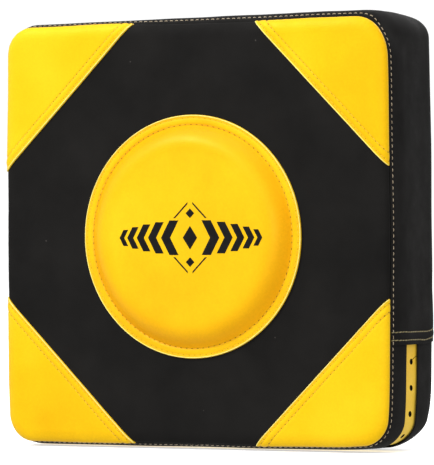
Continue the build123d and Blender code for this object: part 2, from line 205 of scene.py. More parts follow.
# ---- materials ----------------------------------------------------------------------------
class Nodes:
    """A material's node tree, with short ways to add and link nodes."""

    def __init__(self, name):
        self.material = bpy.data.materials.new(name)
        self.material.use_nodes = True
        self.tree = self.material.node_tree
        self.tree.nodes.clear()
        self.output = self.tree.nodes.new("ShaderNodeOutputMaterial")
        self.shader = self.tree.nodes.new("ShaderNodeBsdfPrincipled")
        self.tree.links.new(self.shader.outputs[0], self.output.inputs[0])
        self.where = self.tree.nodes.new("ShaderNodeTexCoord").outputs["Object"]

    def link(self, source, target):
        self.tree.links.new(source, target)

    def noise(self, scale, detail=4.0):
        node = self.tree.nodes.new("ShaderNodeTexNoise")
        node.inputs["Scale"].default_value = scale
        node.inputs["Detail"].default_value = detail
        node.inputs["Roughness"].default_value = 0.55
        self.link(self.where, node.inputs["Vector"])
        return node.outputs["Fac"]

    def cells(self, scale, feature="F1"):
        node = self.tree.nodes.new("ShaderNodeTexVoronoi")
        node.feature = feature
        node.inputs["Scale"].default_value = scale
        self.link(self.where, node.inputs["Vector"])
        return node.outputs["Distance"]

    def wave(self, scale, direction, distortion=0.0):
        node = self.tree.nodes.new("ShaderNodeTexWave")
        node.bands_direction = direction
        node.inputs["Scale"].default_value = scale
        node.inputs["Distortion"].default_value = distortion
        node.inputs["Detail"].default_value = 1.0
        self.link(self.where, node.inputs["Vector"])
        return node.outputs["Fac"]

    def math(self, operation, a, b):
        node = self.tree.nodes.new("ShaderNodeMath")
        node.operation = operation
        for socket, value in zip(node.inputs, (a, b)):
            if isinstance(value, (int, float)):
                socket.default_value = value
            else:
                self.link(value, socket)
        return node.outputs[0]

    def ramp(self, factor, *stops):
        """Colours, or greys given as one number, at places along the factor."""
        node = self.tree.nodes.new("ShaderNodeValToRGB")
        while len(node.color_ramp.elements) < len(stops):
            node.color_ramp.elements.new(0.5)
        for element, (place, colour) in zip(node.color_ramp.elements, stops):
            element.position = place
            if isinstance(colour, (int, float)):
                colour = (colour,) * 3
            element.color = (*colour, 1)
        self.link(factor, node.inputs[0])
        return node.outputs[0]

    def mix(self, factor, a, b, mode="MIX"):
        node = self.tree.nodes.new("ShaderNodeMix")
        node.data_type = "RGBA"
        node.blend_type = mode
        sockets = [s for s in node.inputs if s.type == "RGBA"]
        if isinstance(factor, (int, float)):
            node.inputs[0].default_value = factor
        else:
            self.link(factor, node.inputs[0])
        for socket, value in zip(sockets, (a, b)):
            if isinstance(value, tuple):
                socket.default_value = (*value, 1)
            else:
                self.link(value, socket)
        return [s for s in node.outputs if s.type == "RGBA"][0]

    def bump(self, height, strength, distance, below=None):
        node = self.tree.nodes.new("ShaderNodeBump")
        node.inputs["Strength"].default_value = strength
        node.inputs["Distance"].default_value = distance
        self.link(height, node.inputs["Height"])
        if below is not None:
            self.link(below, node.inputs["Normal"])
        return node.outputs[0]

    def finish(self, colour=None, roughness=None, normal=None, **constants):
        if colour is not None:
            self.link(colour, self.shader.inputs["Base Color"])
        if roughness is not None:
            self.link(roughness, self.shader.inputs["Roughness"])
        if normal is not None:
            self.link(normal, self.shader.inputs["Normal"])
        for name, value in constants.items():
            self.shader.inputs[name.replace("_", " ")].default_value = value
        return self.material


def leather(name, low, mid, high, rough, grain, depth, ring=None, **constants):
    """Leatherette: fine cell grain, soft cloudy colour and uneven shine.

    ring: height of a round target's middle, for painted shade: a deeper orange band round its wall's foot and
    flange, where shade falls.
    """
    n = Nodes(name)
    clouds = n.noise(9, 5)
    colour = n.ramp(clouds, (0.3, low), (0.5, mid), (0.72, high))
    # Painted shade: a deeper orange ring round the target's wall foot and flange, standing in for shade and
    # orange interreflection there.
    if ring is not None:
        split = n.tree.nodes.new("ShaderNodeSeparateXYZ")
        n.link(n.where, split.inputs[0])
        across = n.math("POWER", split.outputs["X"], 2.0)
        upward = n.math("POWER", n.math("SUBTRACT", split.outputs["Z"], ring * MM), 2.0)
        reach = n.math("SQRT", n.math("ADD", across, upward), 0.0)
        reach = n.math("DIVIDE", reach, 0.115)
        band = n.ramp(reach, (0.66, 0.0), (0.84, 1.0), (0.885, 1.0), (0.91, 0.0))
        colour = n.mix(n.math("MULTIPLY", band, 0.6), colour, (1.0, 0.40, 0.0))
    fine = n.noise(420, 3)
    colour = n.mix(0.10, colour, n.ramp(fine, (0.3, 0.35), (0.7, 1.0)), "MULTIPLY")
    shine = n.ramp(n.noise(38, 4), (0.3, rough - 0.05), (0.7, rough + 0.07))
    cells = n.ramp(n.cells(grain, "DISTANCE_TO_EDGE"), (0.0, 0.0), (0.22, 1.0))
    normal = n.bump(cells, 0.35, depth)
    normal = n.bump(n.noise(grain * 0.35, 3), 0.3, depth * 1.4, normal)
    normal = n.bump(n.noise(60, 2), 0.25, 0.0006, normal)
    return n.finish(colour, shine, normal, **constants)


yellow_tones = ((0.86, 0.47, 0.004), (0.95, 0.56, 0.006), (1.0, 0.63, 0.012))
yellow = leather("yellow_leatherette", *yellow_tones, 0.42, 900, 0.00006,
                 Specular_IOR_Level=0.35, Specular_Tint=(1.0, 0.72, 0.12, 1.0))
# Target leather carrying the painted shade ring round its wall.
target_yellow_painted_shade = leather("target_leatherette_painted_shade", *yellow_tones, 0.40, 900, 0.00006, ring=target_z,
                        Specular_IOR_Level=0.4, Specular_Tint=(1.0, 0.76, 0.2, 1.0))
# Vent strip: its own more orange tan, made lighter as painted light to make up for the shade in its recess.
vent_tan_painted_light = leather("vent_leatherette", (0.98, 0.50, 0.02), (1.0, 0.62, 0.05), (1.0, 0.70, 0.10),
                      0.5, 760, 0.00009, Specular_IOR_Level=0.25, Specular_Tint=(1.0, 0.72, 0.2, 1.0))


def black_material():
    """Matt black cover: close grain, faint cloudiness and a few specks of lint."""
    n = Nodes("black_leatherette")
    clouds = n.noise(14, 5)
    colour = n.ramp(clouds, (0.3, (0.0068, 0.0064, 0.006)), (0.7, (0.0118, 0.011, 0.0102)))
    lint = n.ramp(n.cells(46), (0.0, 1.0), (0.022, 1.0), (0.034, 0.0))
    patchy = n.ramp(n.noise(21, 2), (0.45, 0.0), (0.62, 1.0))
    lint = n.mix(1.0, lint, patchy, "MULTIPLY")
    colour = n.mix(lint, colour, (0.11, 0.10, 0.09))
    shine = n.ramp(n.noise(50, 4), (0.3, 0.62), (0.7, 0.78))
    cells = n.ramp(n.cells(1050, "DISTANCE_TO_EDGE"), (0.0, 0.0), (0.25, 1.0))
    normal = n.bump(cells, 0.5, 0.00009)
    normal = n.bump(n.noise(300, 3), 0.3, 0.00012, normal)
    normal = n.bump(n.noise(45, 2), 0.3, 0.0009, normal)
    return n.finish(colour, shine, normal, Specular_IOR_Level=0.08)


black = black_material()


def thread(name, low, high):
    """Twisted sewing thread."""
    n = Nodes(name)
    colour = n.ramp(n.noise(240, 3), (0.3, low), (0.7, high))
    normal = n.bump(n.wave(900, "DIAGONAL"), 0.5, 0.00012)
    rough = n.ramp(n.noise(300, 2), (0.3, 0.55), (0.7, 0.75))
    return n.finish(colour, rough, normal, Sheen_Weight=0.2)


tan_thread = thread("tan_thread", (0.34, 0.26, 0.16), (0.56, 0.46, 0.32))
hem_thread = thread("hem_thread", (0.17, 0.135, 0.045), (0.33, 0.27, 0.12))
# Painted highlight: pale yellow for cords along turned edges, standing in for the light those edges catch.
painted_highlight_yellow = thread("painted_highlight_cord", (1.0, 0.78, 0.12), (1.0, 0.88, 0.25))
yellow_thread = thread("yellow_thread", (0.72, 0.36, 0.01), (0.90, 0.52, 0.02))


def plain(name, low, high, scale, rough, bump=0.3, distance=0.0003, **constants):
    """Cloudy colour with a noise bump."""
    n = Nodes(name)
    colour = n.ramp(n.noise(scale, 5), (0.3, low), (0.7, high))
    shine = n.ramp(n.noise(scale * 2.3, 3), (0.3, rough - 0.06), (0.7, rough + 0.06))
    normal = n.bump(n.noise(scale * 4, 4), bump, distance)
    return n.finish(colour, shine, normal, **constants)


ink = plain("black_ink", (0.004, 0.0035, 0.0035), (0.010, 0.009, 0.009), 160, 0.55, 0.2, 0.00004,
            Specular_IOR_Level=0.12)
# Painted shade: darker orange-brown discs at the needle holes, where shade falls into the holes.
needle_hole_shade = plain("needle_hole", (0.30, 0.13, 0.0), (0.46, 0.22, 0.002), 400, 0.8, 0.1, 0.00004)


def foam_material(name, low, high, size):
    n = Nodes(name)
    colour = n.ramp(n.noise(30, 4), (0.3, low), (0.7, high))
    pores = n.ramp(n.cells(size), (0.05, 0.0), (0.4, 1.0))
    colour = n.mix(0.35, colour, pores, "MULTIPLY")
    normal = n.bump(pores, 0.8, 0.0004)
    return n.finish(colour, None, normal, Roughness=0.9, Specular_IOR_Level=0.2)


foam = foam_material("filling_foam", (0.003, 0.003, 0.003), (0.008, 0.008, 0.008), 700)
grip_rubber = foam_material("grip_rubber", (0.011, 0.011, 0.012), (0.022, 0.022, 0.024), 1100)


def board_material():
    n = Nodes("board")
    grain = n.noise(35, 6)
    colour = n.ramp(grain, (0.3, (0.10, 0.07, 0.045)), (0.7, (0.20, 0.145, 0.095)))
    fibres = n.wave(220, "X", 6.0)
    colour = n.mix(0.25, colour, fibres, "MULTIPLY")
    return n.finish(colour, None, n.bump(fibres, 0.3, 0.0002), Roughness=0.8)


board = board_material()


def woven(name, low, high, pitch, across, along, rough=0.7):
    """Woven tape: threads over and under each other along two directions."""
    n = Nodes(name)
    scale = TAU / pitch / 20.0 / MM
    warp = n.wave(scale, across)
    weft = n.wave(scale, along)
    weave = n.math("MULTIPLY", n.math("SUBTRACT", warp, 0.5), n.math("SUBTRACT", weft, 0.5))
    weave = n.math("ADD", n.math("MULTIPLY", weave, 1.6), 0.5)
    colour = n.ramp(weave, (0.15, low), (0.85, high))
    cloud = n.ramp(n.noise(40, 4), (0.3, 0.75), (0.7, 1.0))
    colour = n.mix(0.8, colour, cloud, "MULTIPLY")
    normal = n.bump(weave, 0.6, 0.00035)
    normal = n.bump(n.noise(900, 3), 0.3, 0.0001, normal)
    return n.finish(colour, None, normal, Roughness=rough, Sheen_Weight=0.15)


webbing = woven("webbing", (0.010, 0.010, 0.011), (0.042, 0.041, 0.043), 1.3, "X", "Z")
zip_tape = woven("zip_tape", (0.009, 0.009, 0.010), (0.038, 0.037, 0.038), 0.7, "X", "Z")
strap_cloth = woven("strap_fabric", (0.012, 0.011, 0.011), (0.034, 0.033, 0.033), 0.9, "X", "Z", 0.75)


def pile(name, low, high, scale, distance):
    """Hook or loop tape."""
    n = Nodes(name)
    tufts = n.cells(scale)
    colour = n.ramp(tufts, (0.1, high), (0.6, low))
    normal = n.bump(tufts, 1.0, distance)
    normal = n.bump(n.noise(scale * 1.7, 4), 0.5, distance, normal)
    return n.finish(colour, None, normal, Roughness=0.9, Sheen_Weight=0.4)


loop_pile = pile("loop_pile", (0.010, 0.010, 0.011), (0.05, 0.049, 0.05), 850, 0.0008)
hook_pile = pile("hook_pile", (0.008, 0.008, 0.009), (0.065, 0.063, 0.062), 1300, 0.0008)


def metal_material(name, low, high, rough):
    n = Nodes(name)
    colour = n.ramp(n.noise(180, 5), (0.3, low), (0.7, high))
    brushed = n.noise(700, 5)
    shine = n.ramp(brushed, (0.3, rough - 0.06), (0.7, rough + 0.12))
    return n.finish(colour, shine, n.bump(brushed, 0.15, 0.00005), Metallic=1.0)


zip_metal = metal_material("zip_metal", (0.30, 0.29, 0.28), (0.46, 0.45, 0.43), 0.30)
rivet_metal = metal_material("rivet_metal", (0.42, 0.41, 0.40), (0.60, 0.59, 0.57), 0.26)
coil_plastic = plain("zip_coil", (0.012, 0.012, 0.013), (0.03, 0.03, 0.032), 300, 0.35, 0.2, 0.00005)


# ---- the pad's outline ----------------------------------------------------------------------
def base_outline(count):
    """The closed outline from the bottom's middle towards +X and round: arc lengths, points and
    the same points before the pad's bow and wear, and its length."""
    corners = ((half_width - bottom_radius, bottom_radius, bottom_radius, -90),
               (half_width - top_radius, height - top_radius, top_radius, 0),
               (top_radius - half_width, height - top_radius, top_radius, 90),
               (bottom_radius - half_width, bottom_radius, bottom_radius, 180))
    plain = [(0.0, 0.0)]
    for centre_x, centre_z, radius, first in corners:
        for degrees in np.linspace(first, first + 90, 60):
            angle = math.radians(degrees)
            plain.append((centre_x + radius * math.cos(angle), centre_z + radius * math.sin(angle)))
    plain.append((0.0, 0.0))
    plain = resampled(np.array(plain), 6 * count)[0]
    x, z = plain[:, 0], plain[:, 1]
    out = (x / half_width) * bow * (1 - ((z - middle_z) / middle_z) ** 2)
    up = (2.2 + 3.2 * x / half_width) * (z / height) ** 8
    worn = 0.5 * (1 + np.tanh(x / 60)) * np.exp(-((z - 2) / 26) ** 2) * np.exp(-((x - 192) / 34) ** 2)
    bent = np.stack([x + out - 2.3 * worn, z + up + 3.0 * worn, x, z], 1)
    table, places = resampled(bent, 6 * count)
    return places[:-1], table[:-1, :2], table[:-1, 2:], places[-1]


def resampled(points, count):
    steps = np.linalg.norm(np.diff(points[:, :2], axis=0), axis=1)
    arc = np.concatenate([[0], np.cumsum(steps)])
    places = np.linspace(0, arc[-1], count + 1)
    return np.stack([np.interp(places, arc, column) for column in points.T], 1), places


def outward(points):
    heading = np.roll(points, -3, 0) - np.roll(points, 3, 0)
    return unit(np.stack([heading[:, 1], -heading[:, 0]], 1))


OUT_S, OUT_P, PLAIN_P, LENGTH = base_outline(1000)
OUT_N, PLAIN_N = outward(OUT_P), outward(PLAIN_P)


def corner_inset(left, right, bottom, top, corners):
    """How far a soft-cornered rectangle lies inside the plain outline, along its normals.

    corners: for +X and -X, bottom and top, the corner's width, height and squareness.
    """
    low, high = np.zeros(len(OUT_S)), np.full(len(OUT_S), 40.0)
    for _ in range(30):
        depth = (low + high) / 2
        x, z = (PLAIN_P - PLAIN_N * depth[:, None]).T
        past_x = np.maximum(x - (half_width - right), -(half_width - left) - x)
        past_z = np.maximum(z - (height - top(x)), bottom - z)
        inside = np.maximum(past_x, past_z) < 0
        for side, level, wide, tall, power in corners:
            edge_x = half_width - (right if side > 0 else left)
            edge_z = height - top(x) if level > 0 else -bottom
            along_x = (side * x - (edge_x - wide)) / wide
            along_z = (level * z - (edge_z - tall)) / tall
            here = (along_x > 0) & (along_z > 0)
            value = np.maximum(along_x, 0) ** power + np.maximum(along_z, 0) ** power
            inside = inside & ~(here & (value > 1))
        low, high = np.where(inside, low, depth), np.where(inside, depth, high)
    return (low + high) / 2


SEAM_INSET = corner_inset(3.9, 4.8, 5.1, lambda x: 7.1 + 2.2 * np.tanh((x + 30) / 80),
                          ((1, 1, 32.0, 36.0, 2.3), (-1, 1, 24.0, 24.0, 2.0),
                           (1, -1, 21.0, 24.0, 2.2), (-1, -1, 22.0, 26.0, 2.0)))


def outline_at(s):
    """Points and outward normals of the outline at arc lengths s."""
    s = np.mod(s, LENGTH)
    found = [np.interp(s, OUT_S, table[:, i], period=LENGTH) for table in (OUT_P, OUT_N) for i in (0, 1)]
    return found[0], found[1], found[2], found[3]


def arc_at_height(z):
    """Arc length of the +X side at height z."""
    right = (OUT_P[:, 0] > half_width - top_radius) & (OUT_S < LENGTH / 2)
    return np.interp(z, OUT_P[right, 1], OUT_S[right])


def seam_inset(s):
    """How far the front seam is pulled inside the outline."""
    return np.interp(np.mod(s, LENGTH), OUT_S, SEAM_INSET, period=LENGTH) + 0.35 * ripple(s, 0 * s, 120, 3)


def back_inset(s):
    x, z, _, normal_z = outline_at(s)
    down = np.maximum(-normal_z, 0)
    corner = np.exp(-((np.abs(x) - 178) / 34) ** 2 - ((z - 4) / 28) ** 2)
    return 1.4 + 1.4 * down ** 2 + 8.0 * corner + 0.3 * ripple(s, 0 * s, 140, 4)


def top_fall(s):
    """How much lower the top is at the back seam than further forward."""
    x, _, _, normal_z = outline_at(s)
    return (4.8 + 1.4 * x / half_width) * np.maximum(normal_z, 0) ** 2


def side_surface(s, y, proud=0.0):
    """The cover's side at arc length s and depth y: crowned between its two seams."""
    x, z, normal_x, normal_z = outline_at(s)
    ahead = np.clip((y - (gusset_front_y + 0.6)) / 26, 0, 1)
    slump = np.exp(-((np.abs(x) - 178) / 40) ** 2 - ((z - 4) / 32) ** 2)
    behind = np.clip((gusset_back_y - y) / (9 + 26 * slump), 0, 1)
    pulled = np.clip((y - (gusset_front_y + 0.6)) / 44, 0, 1)
    drawn = np.maximum(seam_inset(s) - 4.0 - 5.0 * np.maximum(normal_z, 0) ** 4, 0)
    flared = 0.4 + 0.55 * normal_z ** 2
    share = flared * (1 - np.sqrt(1 - (1 - ahead) ** 2)) + (1 - flared) * (1 - ahead) ** 2 * (1 + 2 * ahead)
    inset = (seam_inset(s) - drawn) * share + drawn * (1 - pulled) ** 2 * (1 + 2 * pulled)
    rearward = np.clip((y - gusset_front_y - 12) / (gusset_back_y - gusset_front_y - 12), 0, 1)
    inset = inset + top_fall(s) * rearward
    inset = inset + back_inset(s) * (1 - np.sqrt(1 - (1 - behind) ** 2))
    quiet = np.maximum(-normal_z, 0) ** 2
    soft = 0.55 * ripple(s, y * 1.6, 95, 11) + 0.22 * ripple(s, y * 1.3, 34, 12)
    inset = inset + (0.15 - soft * 0.6) * smoothstep(ahead, 0.1, 0.9) \
        * smoothstep(behind, 0.1, 0.9) * (1 - quiet)
    shift = proud - inset
    return np.stack([x + normal_x * shift, y + 0 * x, z + normal_z * shift], -1)


def side_normals(s, y):
    step = 0.4
    across = side_surface(s + step, y) - side_surface(s - step, y)
    along = side_surface(s, y + step) - side_surface(s, y - step)
    normals = unit(np.cross(across, along))
    _, _, normal_x, normal_z = outline_at(s)
    facing = normals[..., 0] * normal_x + normals[..., 2] * normal_z
    return np.where(facing[..., None] < 0, -normals, normals)


# ---- front ----------------------------------------------------------------------------------
roll_width, roll_depth = 12.0, 5.5
roll_seam_y = face_y + roll_depth


def eased_normals(s, spread=20.0):
    """Outward normals that turn a corner more slowly than the outline, so inner rings don't fold."""
    total_x, total_z = 0.0, 0.0
    for offset in np.linspace(-2, 2, 21) * spread:
        _, _, normal_x, normal_z = outline_at(s + offset)
        weight = math.exp(-(offset / spread) ** 2)
        total_x, total_z = total_x + normal_x * weight, total_z + normal_z * weight
    size = np.hypot(total_x, total_z)
    return total_x / size, total_z / size


def face_grid(columns):
    """The front surface as rings from the seam to the target's middle."""
    s = np.arange(columns) * LENGTH / columns
    inset = seam_inset(s)
    x, z, normal_x, normal_z = outline_at(s)
    eased_x, eased_z = eased_normals(s)
    rows = []
    pinch = np.sin(TAU * s / 9.5 + 2.2 * ripple(s, 0 * s, 60, 21)) * 0.5 + 0.5 * ripple(s, 0 * s, 15, 22)
    for more, y in ((2.6, roll_seam_y + 1.1), (1.1, roll_seam_y + 1.2), (0.35, roll_seam_y + 0.8)):
        rows.append((more, y + 0 * s))
    for angle in np.linspace(0, math.pi / 2, 12):
        more = roll_width * (1 - math.cos(angle))
        rows.append((more, roll_seam_y - roll_depth * math.sin(angle) + 0 * s))
    points = []
    for more, y in rows:
        points.append(np.stack([x - normal_x * inset - eased_x * more, y,
                                z - normal_z * inset - eased_z * more], -1))
    edge = points[-1]
    reach = np.stack([edge[:, 0], edge[:, 2] - target_z], -1)
    aim = unit(reach)
    ring = 97.0
    goal = np.stack([aim[:, 0] * ring, edge[:, 1], target_z + aim[:, 1] * ring], -1)
    for share in np.linspace(0, 1, 60)[1:]:
        points.append(edge + (goal - edge) * share)
    for radius in (70.0, 40.0, 15.0, 2.0):
        points.append(np.stack([aim[:, 0] * radius, edge[:, 1], target_z + aim[:, 1] * radius], -1))
    points = np.array(points)
    x, y, z = points[..., 0], points[..., 1], points[..., 2]
    radius = np.hypot(x, z - target_z)
    calm = smoothstep(radius, 112, 150)
    near = np.array([0.0, 0.3, 0.8] + [1.0] * (len(points) - 3))[:, None]
    from_edge = np.concatenate([np.zeros(3), roll_width * (1 - np.cos(np.linspace(0, math.pi / 2, 12))),
                                np.full(len(points) - 15, 60.0)])
    from_edge[15:15 + 59] = roll_width + np.linspace(0, 1, 60)[1:] * 100
    fade = np.exp(-from_edge / 8.0)[:, None]
    relief = calm * (0.34 * ripple(x, z, 110, 5) + 0.13 * ripple(x, z, 42, 6)) * near
    relief = relief + 0.20 * pinch[None, :] * fade * near
    points[..., 1] = y - relief
    return points


face_points = face_grid(800)
vertices, faces = sheet_mesh(face_points, 1.7, wrap=True)
front = make("cover_front", vertices, faces, black)
put(front, ["front_panel"])


def patch_relief(d):
    """Height of a corner patch above the cover at distance d from its long edge."""
    turned = np.sqrt(np.maximum(1 - (1 - np.minimum(d / 1.1, 1)) ** 2, 0))
    rise = 0.3 + 1.05 * turned
    for row in (3.3, 9.0):
        rise = rise - 0.42 * np.exp(-((d - row) / 0.8) ** 2)
    rise = rise + 0.28 * np.exp(-((d - 6.1) / 1.9) ** 2) * (d > 3.3) * (d < 9)
    return rise


def read_shell(work, gap, facing):
    """Points, normals, polygons and open edges of a bmesh, which is freed.

    gap: points nearer than that are merged. facing: the sign of the normals along Y.
    """
    bmesh.ops.remove_doubles(work, verts=work.verts, dist=gap)
    bmesh.ops.recalc_face_normals(work, faces=work.faces)
    work.normal_update()
    points = np.array([v.co for v in work.verts])
    normals = np.array([v.normal for v in work.verts])
    if np.sum(normals[:, 1]) * facing < 0:
        normals = -normals
    for i, v in enumerate(work.verts):
        v.index = i
    polygons = [[v.index for v in f.verts] for f in work.faces]
    rim = [[v.index for v in e.verts] for e in work.edges if e.is_boundary]
    work.free()
    return points, normals, polygons, rim


def closed_shell(polygons, rim, count):
    """Faces of a sheet and its copy, count points later, joined along the open edges."""
    return polygons + [[i + count for i in reversed(f)] for f in polygons] \
        + [[a, b, b + count, a + count] for a, b in rim]


def corner_patch(side, level):
    """The front's surface beyond one long edge, raised and closed underneath."""
    work = bmesh.new()
    rings = face_points[:15 + 50]
    rows, columns = rings.shape[:2]
    x, z = rings[..., 0], rings[..., 2] - middle_z
    beyond = (side * x + level * z - patch_reach) / math.sqrt(2)
    index = quads(rows, columns, True)
    keep = (beyond.reshape(-1)[index] > -6).any(1)
    index = index[keep]
    used = np.unique(index)
    lookup = {int(old): work.verts.new(rings.reshape(-1, 3)[old]) for old in used}
    for face in index:
        work.faces.new([lookup[int(i)] for i in face])
    direction = Vector((side, 0, level)).normalized()
    start = Vector((0, 0, middle_z)) + direction * (patch_reach / math.sqrt(2))
    for cut in (0.0, 0.25, 0.6, 1.1, 1.9, 2.6, 3.3, 4.0, 4.8, 6.1, 7.4, 8.2, 9.0, 9.8, 10.6):
        bmesh.ops.bisect_plane(work, geom=work.verts[:] + work.edges[:] + work.faces[:], dist=0.02,
                               plane_co=start + direction * cut, plane_no=direction,
                               clear_inner=cut == 0.0)
    points, normals, polygons, rim = read_shell(work, 0.05, -1)
    d = (side * points[:, 0] + level * (points[:, 2] - middle_z) - patch_reach) / math.sqrt(2)
    seam = smoothstep(-points[:, 1], -(roll_seam_y + 1.2), -(roll_seam_y - 1.5))
    rise = patch_relief(np.maximum(d, 0)) * (0.35 + 0.65 * seam)
    top = points + normals * rise[:, None]
    bottom = points + normals * 0.04
    closed = closed_shell(polygons, rim, len(points))
    tree = BVHTree.FromPolygons([tuple(p) for p in top], polygons)
    return np.concatenate([top, bottom]), closed, tree


def raycast_path(tree, points):
    """Where points of the front, moved straight onto a surface, land, with its normals."""
    hits, normals = [], []
    for x, z in points:
        hit, normal, _, _ = tree.ray_cast(Vector((x, -200.0, z)), Vector((0, 1, 0)))
        if hit is not None:
            if normal.y > 0:
                normal = -normal
            hits.append(tuple(hit))
            normals.append(tuple(normal))
    return np.array(hits), np.array(normals)


# ---- sewing ---------------------------------------------------------------------------------
def path_frames(points, normals, places):
    steps = np.linalg.norm(np.diff(points, axis=0), axis=1)
    arc = np.concatenate([[0], np.cumsum(steps)])
    at = np.stack([np.interp(places, arc, points[:, i]) for i in range(3)], -1)
    ahead = np.stack([np.interp(places + 0.3, arc, points[:, i]) for i in range(3)], -1)
    astern = np.stack([np.interp(places - 0.3, arc, points[:, i]) for i in range(3)], -1)
    normal = unit(np.stack([np.interp(places, arc, normals[:, i]) for i in range(3)], -1))
    tangent = unit(ahead - astern)
    return at, normal, tangent


def path_length(points):
    return float(np.sum(np.linalg.norm(np.diff(points, axis=0), axis=1)))


def stitch_row(points, normals, pitch, length, width, seed=1, lift=0.30, slant=0.0):
    """Vertices and faces of a row of stitches that arch out of the surface and dive back in."""
    rng = np.random.default_rng(seed)
    count = max(1, int(path_length(points) / pitch))
    centres = (np.arange(count) + 0.5) * path_length(points) / count
    stations = np.array([-1.0, -0.72, -0.25, 0.25, 0.72, 1.0])
    ring = np.arange(7) * TAU / 7
    long = length / 2 * rng.uniform(0.93, 1.05, count)
    places = centres[:, None] + stations[None, :] * long[:, None]
    at, normal, tangent = path_frames(points, normals, places.reshape(-1))
    side = unit(np.cross(normal, tangent))
    shape = (count, len(stations), 1, 3)
    at, normal, side = at.reshape(shape), normal.reshape(shape), side.reshape(shape)
    taper = np.sqrt(1 - 0.75 * stations ** 4)[None, :, None, None]
    height_at = width * (lift - 0.85 * stations ** 4)[None, :, None, None]
    lean = (stations[None, :] * slant * rng.uniform(0.6, 1.4, (count, 1)))[..., None, None]
    thick = width / 2 * rng.uniform(0.92, 1.08, (count, 1, 1, 1)) * taper
    around = side * (np.cos(ring)[None, None, :, None] * thick) \
        + normal * (np.sin(ring)[None, None, :, None] * thick * 0.8)
    body = at + normal * height_at + side * lean + around
    each = len(stations) * len(ring)
    one = quads(len(stations), len(ring), True)
    faces = (one[None] + (np.arange(count) * each)[:, None, None]).reshape(-1, 4).tolist()
    for k in range(count):
        first = k * each
        faces.append([first + i for i in range(7)][::-1])
        faces.append([first + each - 7 + i for i in range(7)])
    return body.reshape(-1, 3), faces


def needle_dots(points, normals, pitch, radius):
    """Small discs at the ends of stitches, where the needle went in; they carry the needle holes' painted
    shade.
    """
    count = max(1, int(path_length(points) / pitch))
    places = np.arange(count + 1) * path_length(points) / count
    at, normal, tangent = path_frames(points, normals, places)
    side = unit(np.cross(normal, tangent))
    ring = np.arange(8) * TAU / 8
    body = at[:, None] + normal[:, None] * 0.07 \
        + side[:, None] * (np.cos(ring) * radius * 0.8)[None, :, None] \
        + tangent[:, None] * (np.sin(ring) * radius * 1.15)[None, :, None]
    faces = [[8 * k + i for i in range(8)] for k in range(count + 1)]
    return body.reshape(-1, 3), faces


def cord_line(points, normals, radius, lift):
    """Thin round bead along a path, closed at its ends."""
    count = max(4, int(path_length(points) / 2.5))
    at, normal, tangent = path_frames(points, normals, np.linspace(0, path_length(points), count))
    side = unit(np.cross(normal, tangent))
    ring = np.arange(6) * TAU / 6
    body = at[:, None] + normal[:, None] * (lift + radius * np.sin(ring))[None, :, None] \
        + side[:, None] * (radius * np.cos(ring))[None, :, None]
    return body.reshape(-1, 3), tube_faces(count, 6)


seams = {"patch_stitching": [], "patch_needle_holes": []}
# Cords along the corner patches' and the target's turned edges, pale yellow as painted highlight.
painted_highlight_edges = []
for level_name, level in (("top", 1), ("bottom", -1)):
    for side_name, side in (("left", -1), ("right", 1)):
        points, polygons, tree = corner_patch(side, level)
        name = f"corner_patch_{level_name}_{side_name}"
        patch = make(f"cover_{name}", points, polygons, yellow, sharp=55)
        put(patch, [name])
        for row in (0.9, 3.3, 9.0):
            reach = (patch_reach + row * math.sqrt(2))
            corner_x = reach - middle_z
            past_end = 8.0
            along = corner_x - past_end + (half_width - corner_x + 2 * past_end) * np.linspace(0, 1, 240)
            line = np.stack([side * along, middle_z + level * (reach - along)], -1)
            hits, normals = raycast_path(tree, line)
            if row < 2:
                # Painted highlight along the patch's turned long edge.
                painted_highlight_edges.append(cord_line(hits, normals, 0.5, 0.05))
                continue
            seams["patch_stitching"].append(stitch_row(hits, normals, 5.0, 3.6, 0.7, lift=0.05))
            seams["patch_needle_holes"].append(needle_dots(hits, normals, 5.0, 0.6 if row < 5 else 0.8))
put(join("patch_stitching", seams["patch_stitching"], yellow_thread))
put(join("patch_needle_holes", seams["patch_needle_holes"], needle_hole_shade))


# ---- target ---------------------------------------------------------------------------------
crown, wall_width = 0.7, 23.0
wall_foot, foot_y = target_radius - 9.8, face_y - 1.1


def wall_rise(share):
    """Share of the wall's height at a share of the way in from its foot."""
    return 1 - (1 - share) ** 2.5


def target_profile():
    """Radius and depth of the target cover, from its flange's edge to the middle."""
    rows = [(target_radius - 0.1, face_y - 0.35), (target_radius + 0.05, face_y - 0.9)]
    for d in np.array([0.35, 0.9, 1.6, 2.4, 3.0, 3.6, 4.4, 5.4, 6.4, 7.4, 8.2, 8.9, 9.5]):
        turned = math.sqrt(max(1 - (1 - min(d / 1.2, 1)) ** 2, 0))
        rise = 0.9 + 1.0 * turned - 0.40 * math.exp(-((d - 3.0) / 0.8) ** 2)
        rise -= 0.9 * math.exp(-((d - 9.5) / 1.1) ** 2)
        rise += 0.15 * math.exp(-((d - 6.0) / 1.8) ** 2)
        rows.append((target_radius - d, face_y - rise))
    flat_y = target_front_y + crown
    for share in np.linspace(0.012, 1, 26):
        rows.append((wall_foot - wall_width * share, foot_y + (flat_y - foot_y) * wall_rise(share)))
    edge = wall_foot - wall_width
    for radius in np.linspace(edge, 1.0, 34)[1:]:
        rows.append((radius, flat_y - crown * (1 - (radius / edge) ** 2)))
    return np.array(rows)


def target_surface(angle, radius, y):
    """Bend the profile a little as leather over foam does."""
    wall = np.exp(-((radius - (target_radius - 15)) / 8.0) ** 2)
    pinch = 0.5 * np.sin(angle * 74) + 0.5 * ripple(angle * 114, 0 * angle, 26, 31)
    base = np.exp(-((radius - (target_radius - 10.6)) / 2.6) ** 2)
    flat = smoothstep(target_radius - 26 - radius, 0, 20)
    x = radius * np.cos(angle)
    z = radius * np.sin(angle)
    soft = 0.45 * ripple(x, z, 90, 32) * wall + 0.22 * pinch * base + 0.16 * ripple(x, z, 75, 33) * flat
    return np.stack([x, y - soft, target_z + z], -1)


